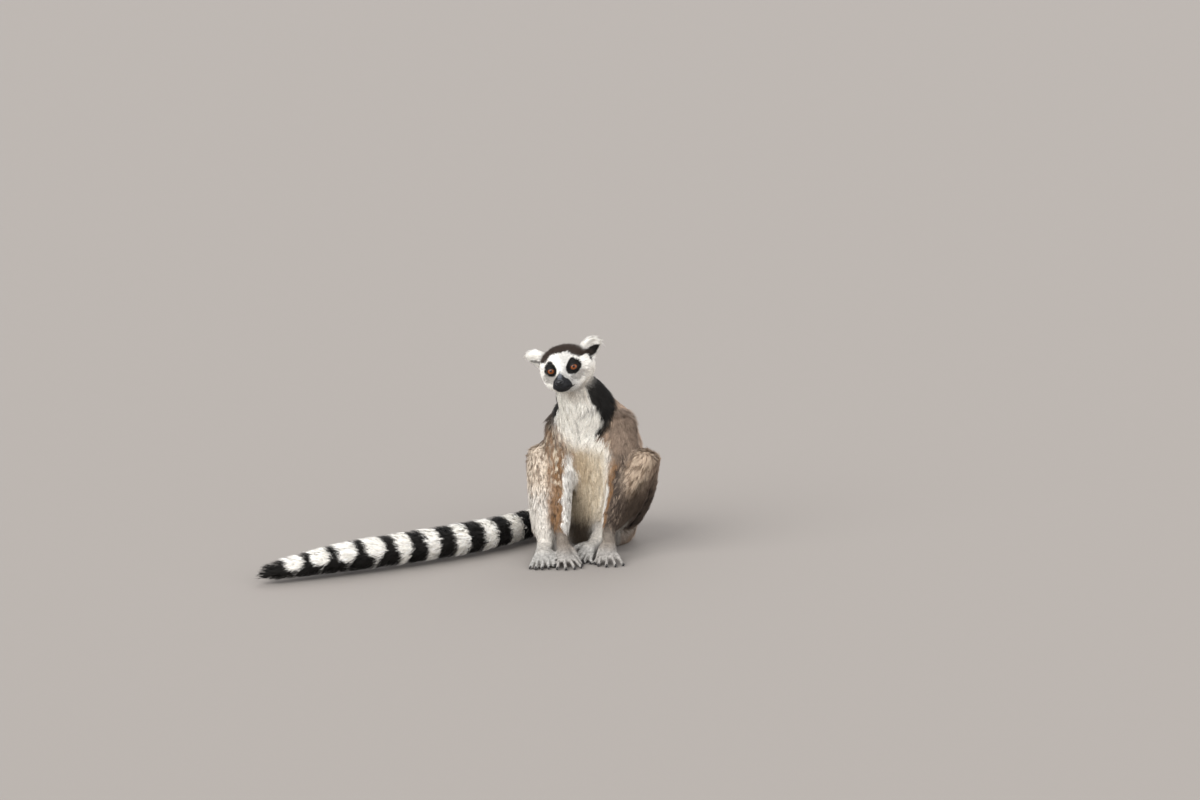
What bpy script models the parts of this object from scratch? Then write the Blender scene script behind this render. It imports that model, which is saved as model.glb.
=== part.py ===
"""Ring-tailed lemur, life size, sitting upright on its rump with its hands and feet set down in front of it.

The animal faces -Y, its left side is +X and up is +Z. The origin is on the floor, under the seat.
Every solid reaches out to the tips of the coat. Units are metres.
"""

import math

import bmesh
import bpy
import numpy as np
from mathutils import Matrix, Vector

# Driving sizes. A station is (x, y, z, half width, half depth) on a body's middle line.
GAP = 0.0003  # between solids that meet
FLOOR_Z = 0.0
SPINE = [
    (0.000, 0.022, -0.014, 0.046, 0.046),
    (0.000, 0.024, 0.018, 0.060, 0.060),
    (0.000, 0.023, 0.058, 0.068, 0.067),
    (0.000, 0.020, 0.104, 0.071, 0.069),
    (0.001, 0.014, 0.148, 0.072, 0.067),
    (-0.001, 0.002, 0.182, 0.066, 0.061),
    (-0.007, -0.014, 0.210, 0.056, 0.052),
    (-0.0055, -0.031, 0.238, 0.0445, 0.041),
    (-0.014, -0.045, 0.264, 0.036, 0.036),
    (-0.016, -0.056, 0.288, 0.033, 0.031),
]
NECK_BASE = Vector((-0.009, -0.028, 0.234))

# Head, in its own frame: forward is -Y, the middle of the braincase is the origin.
HEAD_CENTRE = Vector((-0.0195, -0.067, 0.297))
HEAD_TURN, HEAD_NOD, HEAD_LEAN = math.radians(9.5), math.radians(5), math.radians(14.5)
# (distance forward, half width, top, bottom) of the head's cross sections
HEAD_SECTIONS = [
    (-0.0390, 0.018, 0.009, -0.018),
    (-0.0340, 0.0300, 0.0190, -0.0250),
    (-0.0260, 0.0395, 0.0280, -0.0315),
    (-0.0160, 0.0432, 0.0333, -0.0350),
    (-0.0040, 0.0422, 0.0360, -0.0370),
    (0.0060, 0.0408, 0.0358, -0.0378),
    (0.0135, 0.0391, 0.0328, -0.0381),
    (0.0203, 0.0365, 0.0284, -0.0379),
    (0.0265, 0.0322, 0.0220, -0.0370),
    (0.0330, 0.0245, 0.0130, -0.0358),
    (0.0400, 0.0178, 0.0052, -0.0342),
    (0.0475, 0.0144, -0.0020, -0.0334),
    (0.0550, 0.0130, -0.0078, -0.0324),
    (0.0605, 0.0110, -0.0116, -0.0304),
    (0.0632, 0.0070, -0.0152, -0.0266),
]
HEAD_SQUARENESS = 2.25  # superellipse exponent of those sections
HEAD_PEAR = 0.09  # how much wider they are at the cheeks than at the brow
EYE_RADIUS = 0.0086
EYE_AT = Vector((0.0178, -0.0225, 0.0000))  # of the left eye, in the head's frame
EYE_HOLLOW_RADIUS, EYE_HOLLOW_FLOOR = 0.0160, 0.0285  # the face falls back to this plane round each eye
NOSE_AT = Vector((0.0, -0.0605, -0.0162))
NOSE_HALF = Vector((0.0072, 0.0058, 0.0054))
EAR_ROOT = Vector((0.0265, 0.0060, 0.0075))
EAR_LENGTH, EAR_HALF_WIDTH, EAR_HALF_THICK = 0.039, 0.0165, 0.0062
EAR_FACING = math.radians(34)  # how far its hollow turns from straight ahead to the side
EAR_HOLLOW = Vector((0.0175, 0.0118, 0.0110))  # along, across and into the ear
EAR_HOLLOW_OUT = 0.0070
EAR_RISE = {"left": math.radians(43), "right": math.radians(36)}

# Limbs: each joint's place is (x, y, z), right and left apart because the pose differs.
SHOULDER = {"left": (0.043, -0.006, 0.203), "right": (-0.043, -0.022, 0.197)}
ELBOW = {"left": (0.059, -0.025, 0.130), "right": (-0.035, -0.056, 0.122)}
WRIST = {"left": (0.055, -0.076, 0.046), "right": (-0.007, -0.117, 0.046)}
FINGERTIPS = {"left": (0.073, -0.115, 0.0), "right": (0.024, -0.156, 0.0)}
HIP = {"left": (0.036, 0.018, 0.048), "right": (-0.036, 0.018, 0.048)}
KNEE = {"left": (0.099, -0.024, 0.154), "right": (-0.071, -0.050, 0.152)}
ANKLE = {"left": (0.030, -0.037, 0.031), "right": (-0.040, -0.098, 0.029)}
TOE_TIPS = {"left": (0.023, -0.117, 0.0), "right": (-0.018, -0.175, 0.0)}
ARM_RADII = (0.028, 0.0285, 0.0265, 0.0235, 0.0205, 0.0175, 0.0125)
THIGH_RADII = (0.038, 0.040, 0.038, 0.031, 0.023)
SHIN_RADII = (0.0220, 0.0245, 0.0250, 0.0230, 0.0165)
ANKLE_SPARE, WRIST_SPARE = 0.006, 0.004  # how far shin and forearm are drawn past the cut that ends them

# (half width, height of the knuckles, where along the reach they lie, where the thumb or great toe roots)
HAND_SHAPE = (0.0125, 0.0160, 0.46, 0.62)
FOOT_SHAPE = (0.0150, 0.0140, 0.66, 0.70)
HEEL_HALF = Vector((0.0130, 0.0210, 0.0145))

# Digits: (root across the palm or sole, spread in degrees, length, radius), after the thumb or great toe
GREAT_TOE = {"left": (-0.0090, -50, 0.033, 0.0056), "right": (-0.0095, -16, 0.028, 0.0050)}
FINGERS = [
    (-0.0095, -30, 0.024, 0.0042),
    (-0.0080, -22, 0.026, 0.0038),
    (-0.0027, -6, 0.030, 0.0039),
    (0.0027, 10, 0.030, 0.0039),
    (0.0080, 27, 0.026, 0.0038),
]
OTHER_TOES = [
    (-0.0072, -8, 0.024, 0.0036),
    (-0.0018, 0, 0.028, 0.0037),
    (0.0037, 7, 0.028, 0.0037),
    (0.0090, 14, 0.025, 0.0036),
]

# Tail: its middle line on the floor, and the bushy radius along it
TAIL_LINE = [
    (0.000, 0.062),
    (-0.050, 0.066),
    (-0.092, 0.026),
    (-0.110, -0.040),
    (-0.150, -0.130),
    (-0.215, -0.222),
    (-0.292, -0.312),
    (-0.366, -0.392),
]
TAIL_RADII = (0.018, 0.022, 0.025, 0.027, 0.029, 0.029, 0.027, 0.019)
TAIL_SINK = 0.93  # the middle line's height as a share of the radius, which gives the flat
TAIL_LENGTHS = 6

SIDES = (("left", 1), ("right", -1))
COLOURS = {
    "grey_brown_fur": (0.235, 0.195, 0.165),
    "white_fur": (0.78, 0.75, 0.69),
    "ringed_fur": (0.42, 0.40, 0.37),
    "black_leather": (0.025, 0.024, 0.026),
    "amber_eye": (0.50, 0.17, 0.035),
}


def clear_scene():
    for obj in list(bpy.data.objects):
        bpy.data.objects.remove(obj)


def collection(name):
    made = bpy.data.collections.new(name)
    bpy.context.scene.collection.children.link(made)
    return made


def material(name, roughness):
    mat = bpy.data.materials.get(name) or bpy.data.materials.new(name)
    mat.use_nodes = True
    shader = mat.node_tree.nodes["Principled BSDF"]
    shader.inputs["Base Color"].default_value = (*COLOURS[name], 1)
    shader.inputs["Roughness"].default_value = roughness
    shader.inputs["Metallic"].default_value = 0.0
    return mat


def add(name, bm, finish, roughness=0.85):
    """The bmesh as an object of the animal, shaded smooth."""
    bmesh.ops.recalc_face_normals(bm, faces=bm.faces)
    mesh = bpy.data.meshes.new(name)
    bm.to_mesh(mesh)
    bm.free()
    mesh.shade_smooth()
    mesh.materials.append(material(finish, roughness))
    obj = bpy.data.objects.new(name, mesh)
    BODY.objects.link(obj)
    return obj


def smooth_rows(rows, steps):
    """Catmull-Rom rows through the given ones, with `steps` rows for each stretch."""
    rows = np.array(rows, float)
    ends = np.vstack([2 * rows[0] - rows[1], rows, 2 * rows[-1] - rows[-2]])
    found = []
    for i in range(1, len(ends) - 2):
        a, b, c, d = ends[i - 1 : i + 3]
        for t in np.arange(steps) / steps:
            found.append(
                0.5 * (2 * b + (c - a) * t + (2 * a - 5 * b + 4 * c - d) * t**2 + (3 * b - a - 3 * c + d) * t**3)
            )
    return np.array(found + [rows[-1]])


def bridge_rings(bm, rings, first_pole, last_pole):
    """Faces between like rings of points, closed at both ends by a pole."""
    made = [[bm.verts.new(p) for p in ring] for ring in rings]
    count = len(made[0])
    for low, high in zip(made, made[1:]):
        for k in range(count):
            n = (k + 1) % count
            bm.faces.new((low[k], low[n], high[n], high[k]))
    for ring, pole in ((made[0], first_pole), (made[-1], last_pole)):
        tip = bm.verts.new(pole)
        for k in range(count):
            bm.faces.new((ring[k], ring[(k + 1) % count], tip))


def loft(rows, sides, steps, side=(1, 0, 0), domes=(0.7, 0.7), dome_rings=2):
    """A tube through stations, with domed ends. Half widths lie along `side`, half depths across it."""
    rows = smooth_rows(rows, steps)
    centres, halves = rows[:, :3], rows[:, 3:]
    tangents = np.gradient(centres, axis=0)
    tangents /= np.linalg.norm(tangents, axis=1)[:, None]
    angles = np.arange(sides) * 2 * math.pi / sides

    def ring(i, shrink, shift):
        along = tangents[i]
        across = np.array(side, float) - np.dot(side, along) * along
        across /= np.linalg.norm(across)
        deep = np.cross(along, across)
        half_width, half_depth = halves[i] * shrink
        middle = centres[i] + along * shift
        return [
            middle + across * half_width * math.cos(a) + deep * half_depth * math.sin(a)
            for a in angles
        ]

    def dome(i, sense, share):
        reach = share * halves[i].mean()
        turns = [math.pi / 2 * (k + 1) / (dome_rings + 1) for k in range(dome_rings)]
        rings = [ring(i, math.cos(t), sense * reach * math.sin(t)) for t in turns]
        return rings, centres[i] + tangents[i] * sense * reach

    first, first_pole = dome(0, -1, domes[0])
    last, last_pole = dome(-1, 1, domes[1])
    middle = [ring(i, 1.0, 0.0) for i in range(len(rows))]
    bm = bmesh.new()
    bridge_rings(bm, first[::-1] + middle + last, first_pole, last_pole)
    return bm


def round_rows(points, radii):
    """Stations of a round limb through the points, its radii spread evenly along it."""
    points = smooth_rows(points, 6)
    reach = np.concatenate([[0], np.cumsum(np.linalg.norm(np.diff(points, axis=0), axis=1))])
    wanted = np.linspace(0, reach[-1], len(radii))
    places = np.column_stack([np.interp(wanted, reach, points[:, k]) for k in range(3)])
    return [(*p, r, r) for p, r in zip(places, radii)]


def keep_side(obj, point, normal):
    """Cuts the object by a plane, keeps what lies on the normal's side, and fills the cut."""
    bm = bmesh.new()
    bm.from_mesh(obj.data)
    found = bmesh.ops.bisect_plane(
        bm,
        geom=bm.verts[:] + bm.edges[:] + bm.faces[:],
        plane_co=point,
        plane_no=normal,
        clear_inner=True,
        dist=1e-6,
    )
    cut = [e for e in found["geom_cut"] if isinstance(e, bmesh.types.BMEdge)]
    bmesh.ops.edgeloop_fill(bm, edges=cut)
    bmesh.ops.recalc_face_normals(bm, faces=bm.faces)
    bm.to_mesh(obj.data)
    bm.free()


def stand_on_floor(obj):
    keep_side(obj, (0, 0, FLOOR_Z), (0, 0, 1))


def part_off(obj, point, normal, name):
    """A thin cut: what lies on the normal's side becomes a new object of that name."""
    normal = Vector(normal).normalized()
    other = bpy.data.objects.new(name, obj.data.copy())
    other.data.name = name
    BODY.objects.link(other)
    keep_side(other, Vector(point) + normal * GAP / 2, normal)
    keep_side(obj, Vector(point) - normal * GAP / 2, -normal)
    return other


def apply_modifiers(obj):
    bpy.context.view_layer.update()
    graph = bpy.context.evaluated_depsgraph_get()
    mesh = bpy.data.meshes.new_from_object(obj.evaluated_get(graph))
    obj.modifiers.clear()
    obj.data = mesh


def boolean(obj, operation, other):
    step = obj.modifiers.new(operation.lower(), "BOOLEAN")
    step.operation, step.object, step.solver = operation, other, "EXACT"
    other.hide_render = True
    other.display_type = "WIRE"
    apply_modifiers(obj)


def keep_largest(obj):
    """Drops the crumbs that a cut leaves beside the main body."""
    bm = bmesh.new()
    bm.from_mesh(obj.data)
    left, bodies = set(bm.verts), []
    while left:
        body, edge = set(), [left.pop()]
        while edge:
            v = edge.pop()
            body.add(v)
            near = {e.other_vert(v) for e in v.link_edges} & left
            left -= near
            edge.extend(near)
        bodies.append(body)
    main = max(bodies, key=len)
    bmesh.ops.delete(bm, geom=[v for v in bm.verts if v not in main], context="VERTS")
    bm.to_mesh(obj.data)
    bm.free()


def make_room(obj, *neighbours):
    """Takes each neighbour's shape, grown by the gap, out of the object."""
    for neighbour in neighbours:
        cutter = bpy.data.objects.new(f"room_{obj.name}_{neighbour.name}", neighbour.data.copy())
        CUTTERS.objects.link(cutter)
        grow = cutter.modifiers.new("grow", "DISPLACE")
        grow.strength, grow.mid_level = 1.5 * GAP, 0.0
        apply_modifiers(cutter)
        boolean(obj, "DIFFERENCE", cutter)
    keep_largest(obj)


def join_shapes(obj, shapes):
    for shape in shapes:
        BODY.objects.unlink(shape)
        CUTTERS.objects.link(shape)
        boolean(obj, "UNION", shape)


def head_frame():
    return (
        Matrix.Translation(HEAD_CENTRE)
        @ Matrix.Rotation(HEAD_TURN, 4, "Z")
        @ Matrix.Rotation(-HEAD_NOD, 4, "X")
        @ Matrix.Rotation(-HEAD_LEAN, 4, "Y")
    )


def make_torso():
    """Trunk and neck: one form along the spine, parted at the base of the neck."""
    trunk = add("trunk", loft(SPINE, 20, 2), "grey_brown_fur")
    stand_on_floor(trunk)
    rise = Vector(SPINE[8][:3]) - Vector(SPINE[7][:3])
    neck = part_off(trunk, NECK_BASE, rise, "neck")
    return trunk, neck


def head_section(forward, half_width, top, bottom, sides):
    """One superellipse ring of the head, in the head's frame."""
    middle, half_height = (top + bottom) / 2, (top - bottom) / 2
    ring = []
    for k in range(sides):
        a = 2 * math.pi * k / sides
        c, s = math.cos(a), math.sin(a)
        x = math.copysign(abs(c) ** (2 / HEAD_SQUARENESS), c) * half_width * (1 - HEAD_PEAR * s)
        z = math.copysign(abs(s) ** (2 / HEAD_SQUARENESS), s) * half_height
        ring.append(Vector((x, -forward, middle + z)))
    return ring


def make_head(frame):
    """Head lofted from the back of the skull to the muzzle's tip, with the eye sockets let in."""
    rings = [head_section(*row, sides=24) for row in HEAD_SECTIONS]
    back, front = (
        Vector((0, -forward - bulge, (top + bottom) / 2))
        for (forward, _, top, bottom), bulge in ((HEAD_SECTIONS[0], -0.003), (HEAD_SECTIONS[-1], 0.001))
    )
    bm = bmesh.new()
    bridge_rings(bm, rings, back, front)
    for v in bm.verts:
        for sign in (-1, 1):
            away = math.hypot(v.co.x - sign * (EYE_AT.x + 0.002), v.co.z - EYE_AT.z) / EYE_HOLLOW_RADIUS
            beyond = -v.co.y - EYE_HOLLOW_FLOOR
            if away < 1 and beyond > 0:
                v.co.y += beyond * (1 - away**4)
    head = add("head", bm, "white_fur")
    head.data.transform(frame)
    return head


def ball(name, place, half, finish, roughness, segments, frame):
    bm = bmesh.new()
    bmesh.ops.create_uvsphere(bm, u_segments=segments, v_segments=segments // 2, radius=1)
    half = Vector((half,) * 3) if isinstance(half, float) else half
    bmesh.ops.scale(bm, vec=half, verts=bm.verts)
    bmesh.ops.translate(bm, vec=place, verts=bm.verts)
    obj = add(name, bm, finish, roughness)
    obj.data.transform(frame)
    return obj


def make_ear(side, frame):
    """A cupped leaf that stands out from the head, its hollow towards the front and side."""
    sign = 1 if side == "left" else -1
    rise = EAR_RISE[side]
    out = Vector((sign * math.cos(rise), 0, math.sin(rise)))
    root = Vector((sign * EAR_ROOT.x, EAR_ROOT.y, EAR_ROOT.z))
    shape = ((0.0, 0.66, 1.3), (0.25, 0.92, 1.3), (0.5, 1.0, 1.1), (0.75, 0.84, 0.8), (0.94, 0.46, 0.5))
    rows = []
    for reach, wide, thick in shape:
        place = root + out * reach * EAR_LENGTH + Vector((0, 0.006 * math.sin(math.pi * reach), 0))
        rows.append((*place, wide * EAR_HALF_WIDTH, thick * EAR_HALF_THICK))
    facing = math.cos(EAR_FACING), math.sin(EAR_FACING)
    edge = Vector((-sign * math.sin(rise) * facing[0], -facing[1], math.cos(rise) * facing[0]))
    front = Vector((sign * math.sin(rise) * facing[1], -facing[0], -math.cos(rise) * facing[1]))
    ear = add(f"ear_{side}", loft(rows, 14, 1, side=edge, domes=(0.3, 0.5)), "white_fur")
    hollow = ball("hollow_" + side, Vector(), EAR_HOLLOW, "white_fur", 0.8, 12, Matrix())
    turn = Matrix((out, edge, front)).transposed().to_4x4()
    hollow.data.transform(Matrix.Translation(root + out * 0.62 * EAR_LENGTH + front * EAR_HOLLOW_OUT) @ turn)
    BODY.objects.unlink(hollow)
    CUTTERS.objects.link(hollow)
    boolean(ear, "DIFFERENCE", hollow)
    ear.data.transform(frame)
    return ear


def make_arm(side):
    """Upper arm and forearm: one bent form, parted by a thin cut through the elbow."""
    shoulder, elbow, wrist = (Vector(place[side]) for place in (SHOULDER, ELBOW, WRIST))
    beyond = wrist + (wrist - elbow).normalized() * WRIST_SPARE
    rows = round_rows([shoulder, elbow, beyond], ARM_RADII)
    upper = add(f"upper_arm_{side}", loft(rows, 14, 2, domes=(0.8, 0.2)), "grey_brown_fur")
    forearm = part_off(upper, elbow, wrist - shoulder, f"forearm_{side}")
    return upper, forearm


def make_leg(side):
    """Thigh and shin: joined into one folded leg, then parted by the plane that halves the knee's angle."""
    hip, knee, ankle = (Vector(place[side]) for place in (HIP, KNEE, ANKLE))
    below = ankle + (ankle - knee).normalized() * ANKLE_SPARE
    leg = add(f"thigh_{side}", loft(round_rows([hip, knee], THIGH_RADII), 14, 2), "grey_brown_fur")
    lower = add(f"lower_{side}", loft(round_rows([knee, below], SHIN_RADII), 14, 2), "grey_brown_fur")
    join_shapes(leg, [lower])
    to_shin = (ankle - knee).normalized() - (hip - knee).normalized()
    shin = part_off(leg, knee, to_shin, f"shin_{side}")
    return leg, shin


def make_digit(name, root, heading, length, radius):
    """One digit that arches forward from its root and ends on a pad on the floor."""
    tip_z = radius * 0.72
    rows = []
    for reach, lift, thick in ((0.0, 1.0, 1.15), (0.35, 0.86, 1.0), (0.7, 0.36, 0.95), (1.0, 0.0, 0.9)):
        place = root + heading * length * reach
        place.z = tip_z + (root.z - tip_z) * lift
        rows.append((*place, radius * thick, radius * thick))
    across = heading.cross(Vector((0, 0, 1)))
    return add(name, loft(rows, 6, 1, side=across, domes=(0.6, 0.9), dome_rings=1), "white_fur")


def make_hand_or_foot(name, start, tips, digits, sign, shape):
    """Palm or sole from the wrist or ankle down to the knuckles, joined with its five digits."""
    half_width, knuckle_z, knuckle_share, thumb_share = shape
    start, tips = Vector(start), Vector(tips)
    ahead = Vector((tips.x - start.x, tips.y - start.y, 0))
    reach = ahead.length
    ahead.normalize()
    across = Vector((0, 0, 1)).cross(ahead)
    knuckles = start + ahead * reach * knuckle_share
    knuckles.z = knuckle_z
    middle = (start + knuckles) / 2 - Vector((0, 0, 0.004))
    rows = [
        (*(start + Vector((0, 0, 0.007))), half_width * 0.84, half_width * 0.80),
        (*middle, half_width * 0.95, half_width * 0.72),
        (*knuckles, half_width * 0.98, knuckle_z * 0.85),
    ]
    palm = add(name, loft(rows, 11, 2, side=across, domes=(0.3, 0.35)), "white_fur")
    shapes = []
    for n, (offset, spread, length, radius) in enumerate(digits):
        root = start.lerp(knuckles, thumb_share if n == 0 else 1.0)
        root += across * sign * offset * half_width / 0.012
        turn = Matrix.Rotation(math.radians(sign * spread), 3, "Z")
        shapes.append(make_digit(f"{name}_digit_{n}", root, turn @ ahead, length, radius))
    join_shapes(palm, shapes)
    stand_on_floor(palm)
    return palm


def meet_at(upper, lower, point, normal):
    """Cuts two bodies by one plane, so that they meet face to face with a thin gap."""
    normal = Vector(normal).normalized()
    keep_side(upper, Vector(point) + normal * GAP / 2, normal)
    keep_side(lower, Vector(point) - normal * GAP / 2, -normal)


def add_heel(foot, side):
    """The heel bone's rounded end, behind the ankle."""
    ankle, toes = Vector(ANKLE[side]), Vector(TOE_TIPS[side])
    heading = math.atan2(toes.x - ankle.x, ankle.y - toes.y)
    place = Matrix.Translation((ankle.x, ankle.y, HEEL_HALF.z - 0.0012)) @ Matrix.Rotation(heading, 4, "Z")
    heel = ball("heel_" + side, Vector((0, 0.006, 0)), HEEL_HALF, "white_fur", 0.85, 10, place)
    join_shapes(foot, [heel])
    stand_on_floor(foot)


def make_tail():
    """The tail lies along the floor on a narrow flat, parted into lengths by thin cuts."""
    rows = [(x, y, r * TAIL_SINK, r, r) for (x, y), r in zip(TAIL_LINE, TAIL_RADII)]
    line = smooth_rows(rows, 6)[:, :3]
    pieces = [add("tail_1", loft(rows, 12, 4, side=(0, 0, 1), domes=(0.4, 1.6)), "ringed_fur")]
    stand_on_floor(pieces[0])
    reach = np.concatenate([[0], np.cumsum(np.linalg.norm(np.diff(line, axis=0), axis=1))])
    for n in range(1, TAIL_LENGTHS):
        at = reach[-1] * n / TAIL_LENGTHS
        i = int(np.searchsorted(reach, at))
        pieces.append(part_off(pieces[-1], line[i], line[i] - line[i - 1], f"tail_{n + 1}"))
    return pieces


def make_lemur():
    frame = head_frame()
    trunk, neck = make_torso()
    head = make_head(frame)
    nose = ball("nose", NOSE_AT, NOSE_HALF, "black_leather", 0.4, 10, frame)
    make_room(head, nose)
    make_room(neck, head)
    feet, thighs = {}, {}
    for side, sign in SIDES:
        place = Vector((sign * EYE_AT.x, EYE_AT.y, EYE_AT.z))
        eye = ball(f"eye_{side}", place, EYE_RADIUS, "amber_eye", 0.08, 12, frame)
        make_room(head, eye)
        make_room(make_ear(side, frame), head)
        toes = [GREAT_TOE[side]] + OTHER_TOES
        feet[side] = make_hand_or_foot(f"foot_{side}", ANKLE[side], TOE_TIPS[side], toes, sign, FOOT_SHAPE)
        add_heel(feet[side], side)
    for side, sign in SIDES:
        thigh, shin = make_leg(side)
        thighs[side] = thigh
        stand_on_floor(thigh)
        meet_at(shin, feet[side], ANKLE[side], (0, 0, 1))
        make_room(thigh, trunk)
        make_room(shin, trunk)
        make_room(feet[side], trunk)

        upper, forearm = make_arm(side)
        hand = make_hand_or_foot(f"hand_{side}", WRIST[side], FINGERTIPS[side], FINGERS, sign, HAND_SHAPE)
        meet_at(forearm, hand, WRIST[side], Vector(ELBOW[side]) - Vector(WRIST[side]))
        make_room(upper, trunk, neck)
        make_room(forearm, trunk)
        make_room(shin, forearm, upper)
        make_room(thigh, forearm, upper)
    tail = make_tail()
    make_room(tail[0], trunk, thighs["right"])


clear_scene()
BODY = collection("ring_tailed_lemur")
CUTTERS = collection("cutters")
make_lemur()
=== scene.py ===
"""A life-size ring-tailed lemur as a museum would mount it: one skin over the body, glossy eyes, a bare
nose, dark nails, and a coat of solid tufts laid over the skin. The animal faces -Y and sits on the floor.
"""

import math

import bmesh
import bpy
import numpy as np
from mathutils import Matrix, Vector, kdtree, noise
from mathutils.bvhtree import BVHTree


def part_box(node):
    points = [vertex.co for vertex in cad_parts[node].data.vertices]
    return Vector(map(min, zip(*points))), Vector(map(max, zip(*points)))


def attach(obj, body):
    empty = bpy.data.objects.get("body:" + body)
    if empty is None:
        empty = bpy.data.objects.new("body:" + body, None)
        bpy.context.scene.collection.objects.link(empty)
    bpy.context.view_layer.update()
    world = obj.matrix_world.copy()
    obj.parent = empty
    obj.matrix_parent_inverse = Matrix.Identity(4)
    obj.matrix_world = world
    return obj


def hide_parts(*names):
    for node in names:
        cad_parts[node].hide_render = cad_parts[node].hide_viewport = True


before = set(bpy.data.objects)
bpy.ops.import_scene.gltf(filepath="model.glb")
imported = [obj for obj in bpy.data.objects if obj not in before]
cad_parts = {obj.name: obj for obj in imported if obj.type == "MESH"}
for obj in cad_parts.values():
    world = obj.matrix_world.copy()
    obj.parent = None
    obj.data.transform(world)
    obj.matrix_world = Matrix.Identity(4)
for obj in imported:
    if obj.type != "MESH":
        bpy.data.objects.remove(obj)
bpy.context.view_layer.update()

# ---------------------------------------------------------------------------
# The skin: one closed surface over head, neck, trunk, limbs and tail, with no seam, as a
# mounter stretches it over the form. The solids are joined, their joints rounded off, and
# the whole drawn in by the depth of the coat that will stand on it.
# ---------------------------------------------------------------------------
MM = 0.001
SKIN_GRAIN = 1.6 * MM
COARSE_SHARE = 0.30  # of the faces kept on the body, where the coat hides them
FINE_FACE_FROM = 8 * MM  # ahead of the braincase's middle the skin's grain is halved
FINE_FOOT_TO = 22 * MM  # up to this height, near the digits' ends, it is halved too
JOIN_SWELL = 0.45 * MM  # closes the gaps between the solids
ROUNDING_PASSES = 90
JOINT_ROUNDING = {"head": 0.35, "ear": 0.15, "hand": 0.12, "foot": 0.15}  # share of the full smoothing
COAT_DEPTH = {
    "head": 4.5, "ear": 1.3, "neck": 9.0, "trunk": 9.5, "upper_arm": 7.5, "forearm": 5.5,
    "hand": 0.7, "thigh": 8.0, "shin": 5.5, "foot": 0.9, "tail": 10.0,
}  # millimetres
TAIL_ROOT_THINNER, WRIST_DEEPER = 3, 1.5  # millimetres
ANKLE_SHARE = 0.45  # of the coat's depth is left above wrist and ankle
SOLE_DEPTH = 0.2 * MM
SIDES = {"left": 1, "right": -1}
KINDS = tuple(COAT_DEPTH)
TAIL_NODES = [f"tail_{n}" for n in range(1, 7)]
FLESH = [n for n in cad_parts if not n.startswith(("eye", "nose"))]


def corner_mean(name):
    low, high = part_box(name)
    return (Vector(low) + Vector(high)) / 2


def points_of(name):
    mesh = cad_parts[name].data
    flat = np.empty(len(mesh.vertices) * 3)
    mesh.vertices.foreach_get("co", flat)
    return flat.reshape(-1, 3)


def length_of(vectors):
    """The length of each vector."""
    return np.linalg.norm(vectors, axis=-1)


def unit(vectors):
    vectors = np.asarray(vectors, float)
    return vectors / np.maximum(length_of(vectors), 1e-9)[..., None]


def ramp(low, high, values):
    """0 up to low, 1 from high on, and an easy slope between; it runs down where low is the higher."""
    t = np.clip((values - low) / (high - low), 0, 1)
    return t * t * (3 - 2 * t)


# The two eyes and the nose give the head its own frame.
EYE_FORWARD = 22.5 * MM  # the eyes' centres lie this far ahead of the braincase's middle
MUZZLE_SLOPE = math.radians(23.1)  # from the eyes down to the nose
eye_centre = {side: corner_mean(f"eye_{side}") for side in SIDES}
eyes_between = (eye_centre["left"] + eye_centre["right"]) / 2
head_side = (eye_centre["left"] - eye_centre["right"]).normalized()
to_nose = (corner_mean("nose") - eyes_between).normalized()
head_ahead = Matrix.Rotation(-MUZZLE_SLOPE, 3, head_side) @ to_nose
head_ahead = (head_ahead - head_side * head_ahead.dot(head_side)).normalized()
head_up = head_ahead.cross(head_side)
head_middle = eyes_between - head_ahead * EYE_FORWARD
head_axes = np.array([head_side, head_ahead, head_up])  # rows: to its left, ahead, up


def in_head(points):
    """(left, ahead, up) from the middle of the braincase."""
    return (np.asarray(points) - np.array(head_middle)) @ head_axes.T


def distance_to(points, targets):
    """From each point to the nearest of the targets."""
    return length_of(points[:, None] - targets[None]).min(axis=1)


def meeting_point(name, other, reach=0.6 * MM):
    """The middle of the cut face by which one length of tail meets the next."""
    mine = points_of(name)
    return mine[distance_to(mine, points_of(other)) < reach].mean(axis=0)


def tail_line():
    """Points down the tail's middle: its root, each length's middle, each cut, and the tip."""
    first, last = points_of(TAIL_NODES[0]), points_of(TAIL_NODES[-1])
    trunk_middle = np.array(corner_mean("trunk"))
    root = first[np.argsort(length_of(first - trunk_middle))[:12]].mean(axis=0)
    line = [root]
    for name, after in zip(TAIL_NODES, TAIL_NODES[1:]):
        line += [points_of(name).mean(axis=0), meeting_point(name, after)]
    tip = last[np.argmax(length_of(last - line[-1]))]
    return np.array(line + [(line[-1] + tip) / 2, tip])


TAIL = tail_line()
TAIL_REACH = np.concatenate([[0], np.cumsum(length_of(np.diff(TAIL, axis=0)))])


def along_tail(points):
    """(distance from the root, direction towards the tip) for each point."""
    best, reach, way = np.full(len(points), 9.0), np.zeros(len(points)), np.zeros((len(points), 3))
    for i in range(len(TAIL) - 1):
        step = TAIL[i + 1] - TAIL[i]
        size = length_of(step)
        t = np.clip((points - TAIL[i]) @ step / size**2, 0, 1)
        away = length_of(points - TAIL[i] - t[:, None] * step)
        closer = away < best
        best[closer] = away[closer]
        reach[closer] = TAIL_REACH[i] + t[closer] * size
        way[closer] = step / size
    return reach, way


SPINE_STEP = 12 * MM


def spine_slices():
    """The torso's middle (x, y) at each height."""
    both = np.vstack([points_of("trunk"), points_of("neck")])
    heights = np.arange(0.02, 0.285, SPINE_STEP)
    middles = []
    for z in heights:
        near = both[np.abs(both[:, 2] - z) < SPINE_STEP]
        middles.append((near[:, :2].min(axis=0) + near[:, :2].max(axis=0)) / 2)
    return heights, np.array(middles)


SPINE_Z, SPINE_XY = spine_slices()


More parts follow.
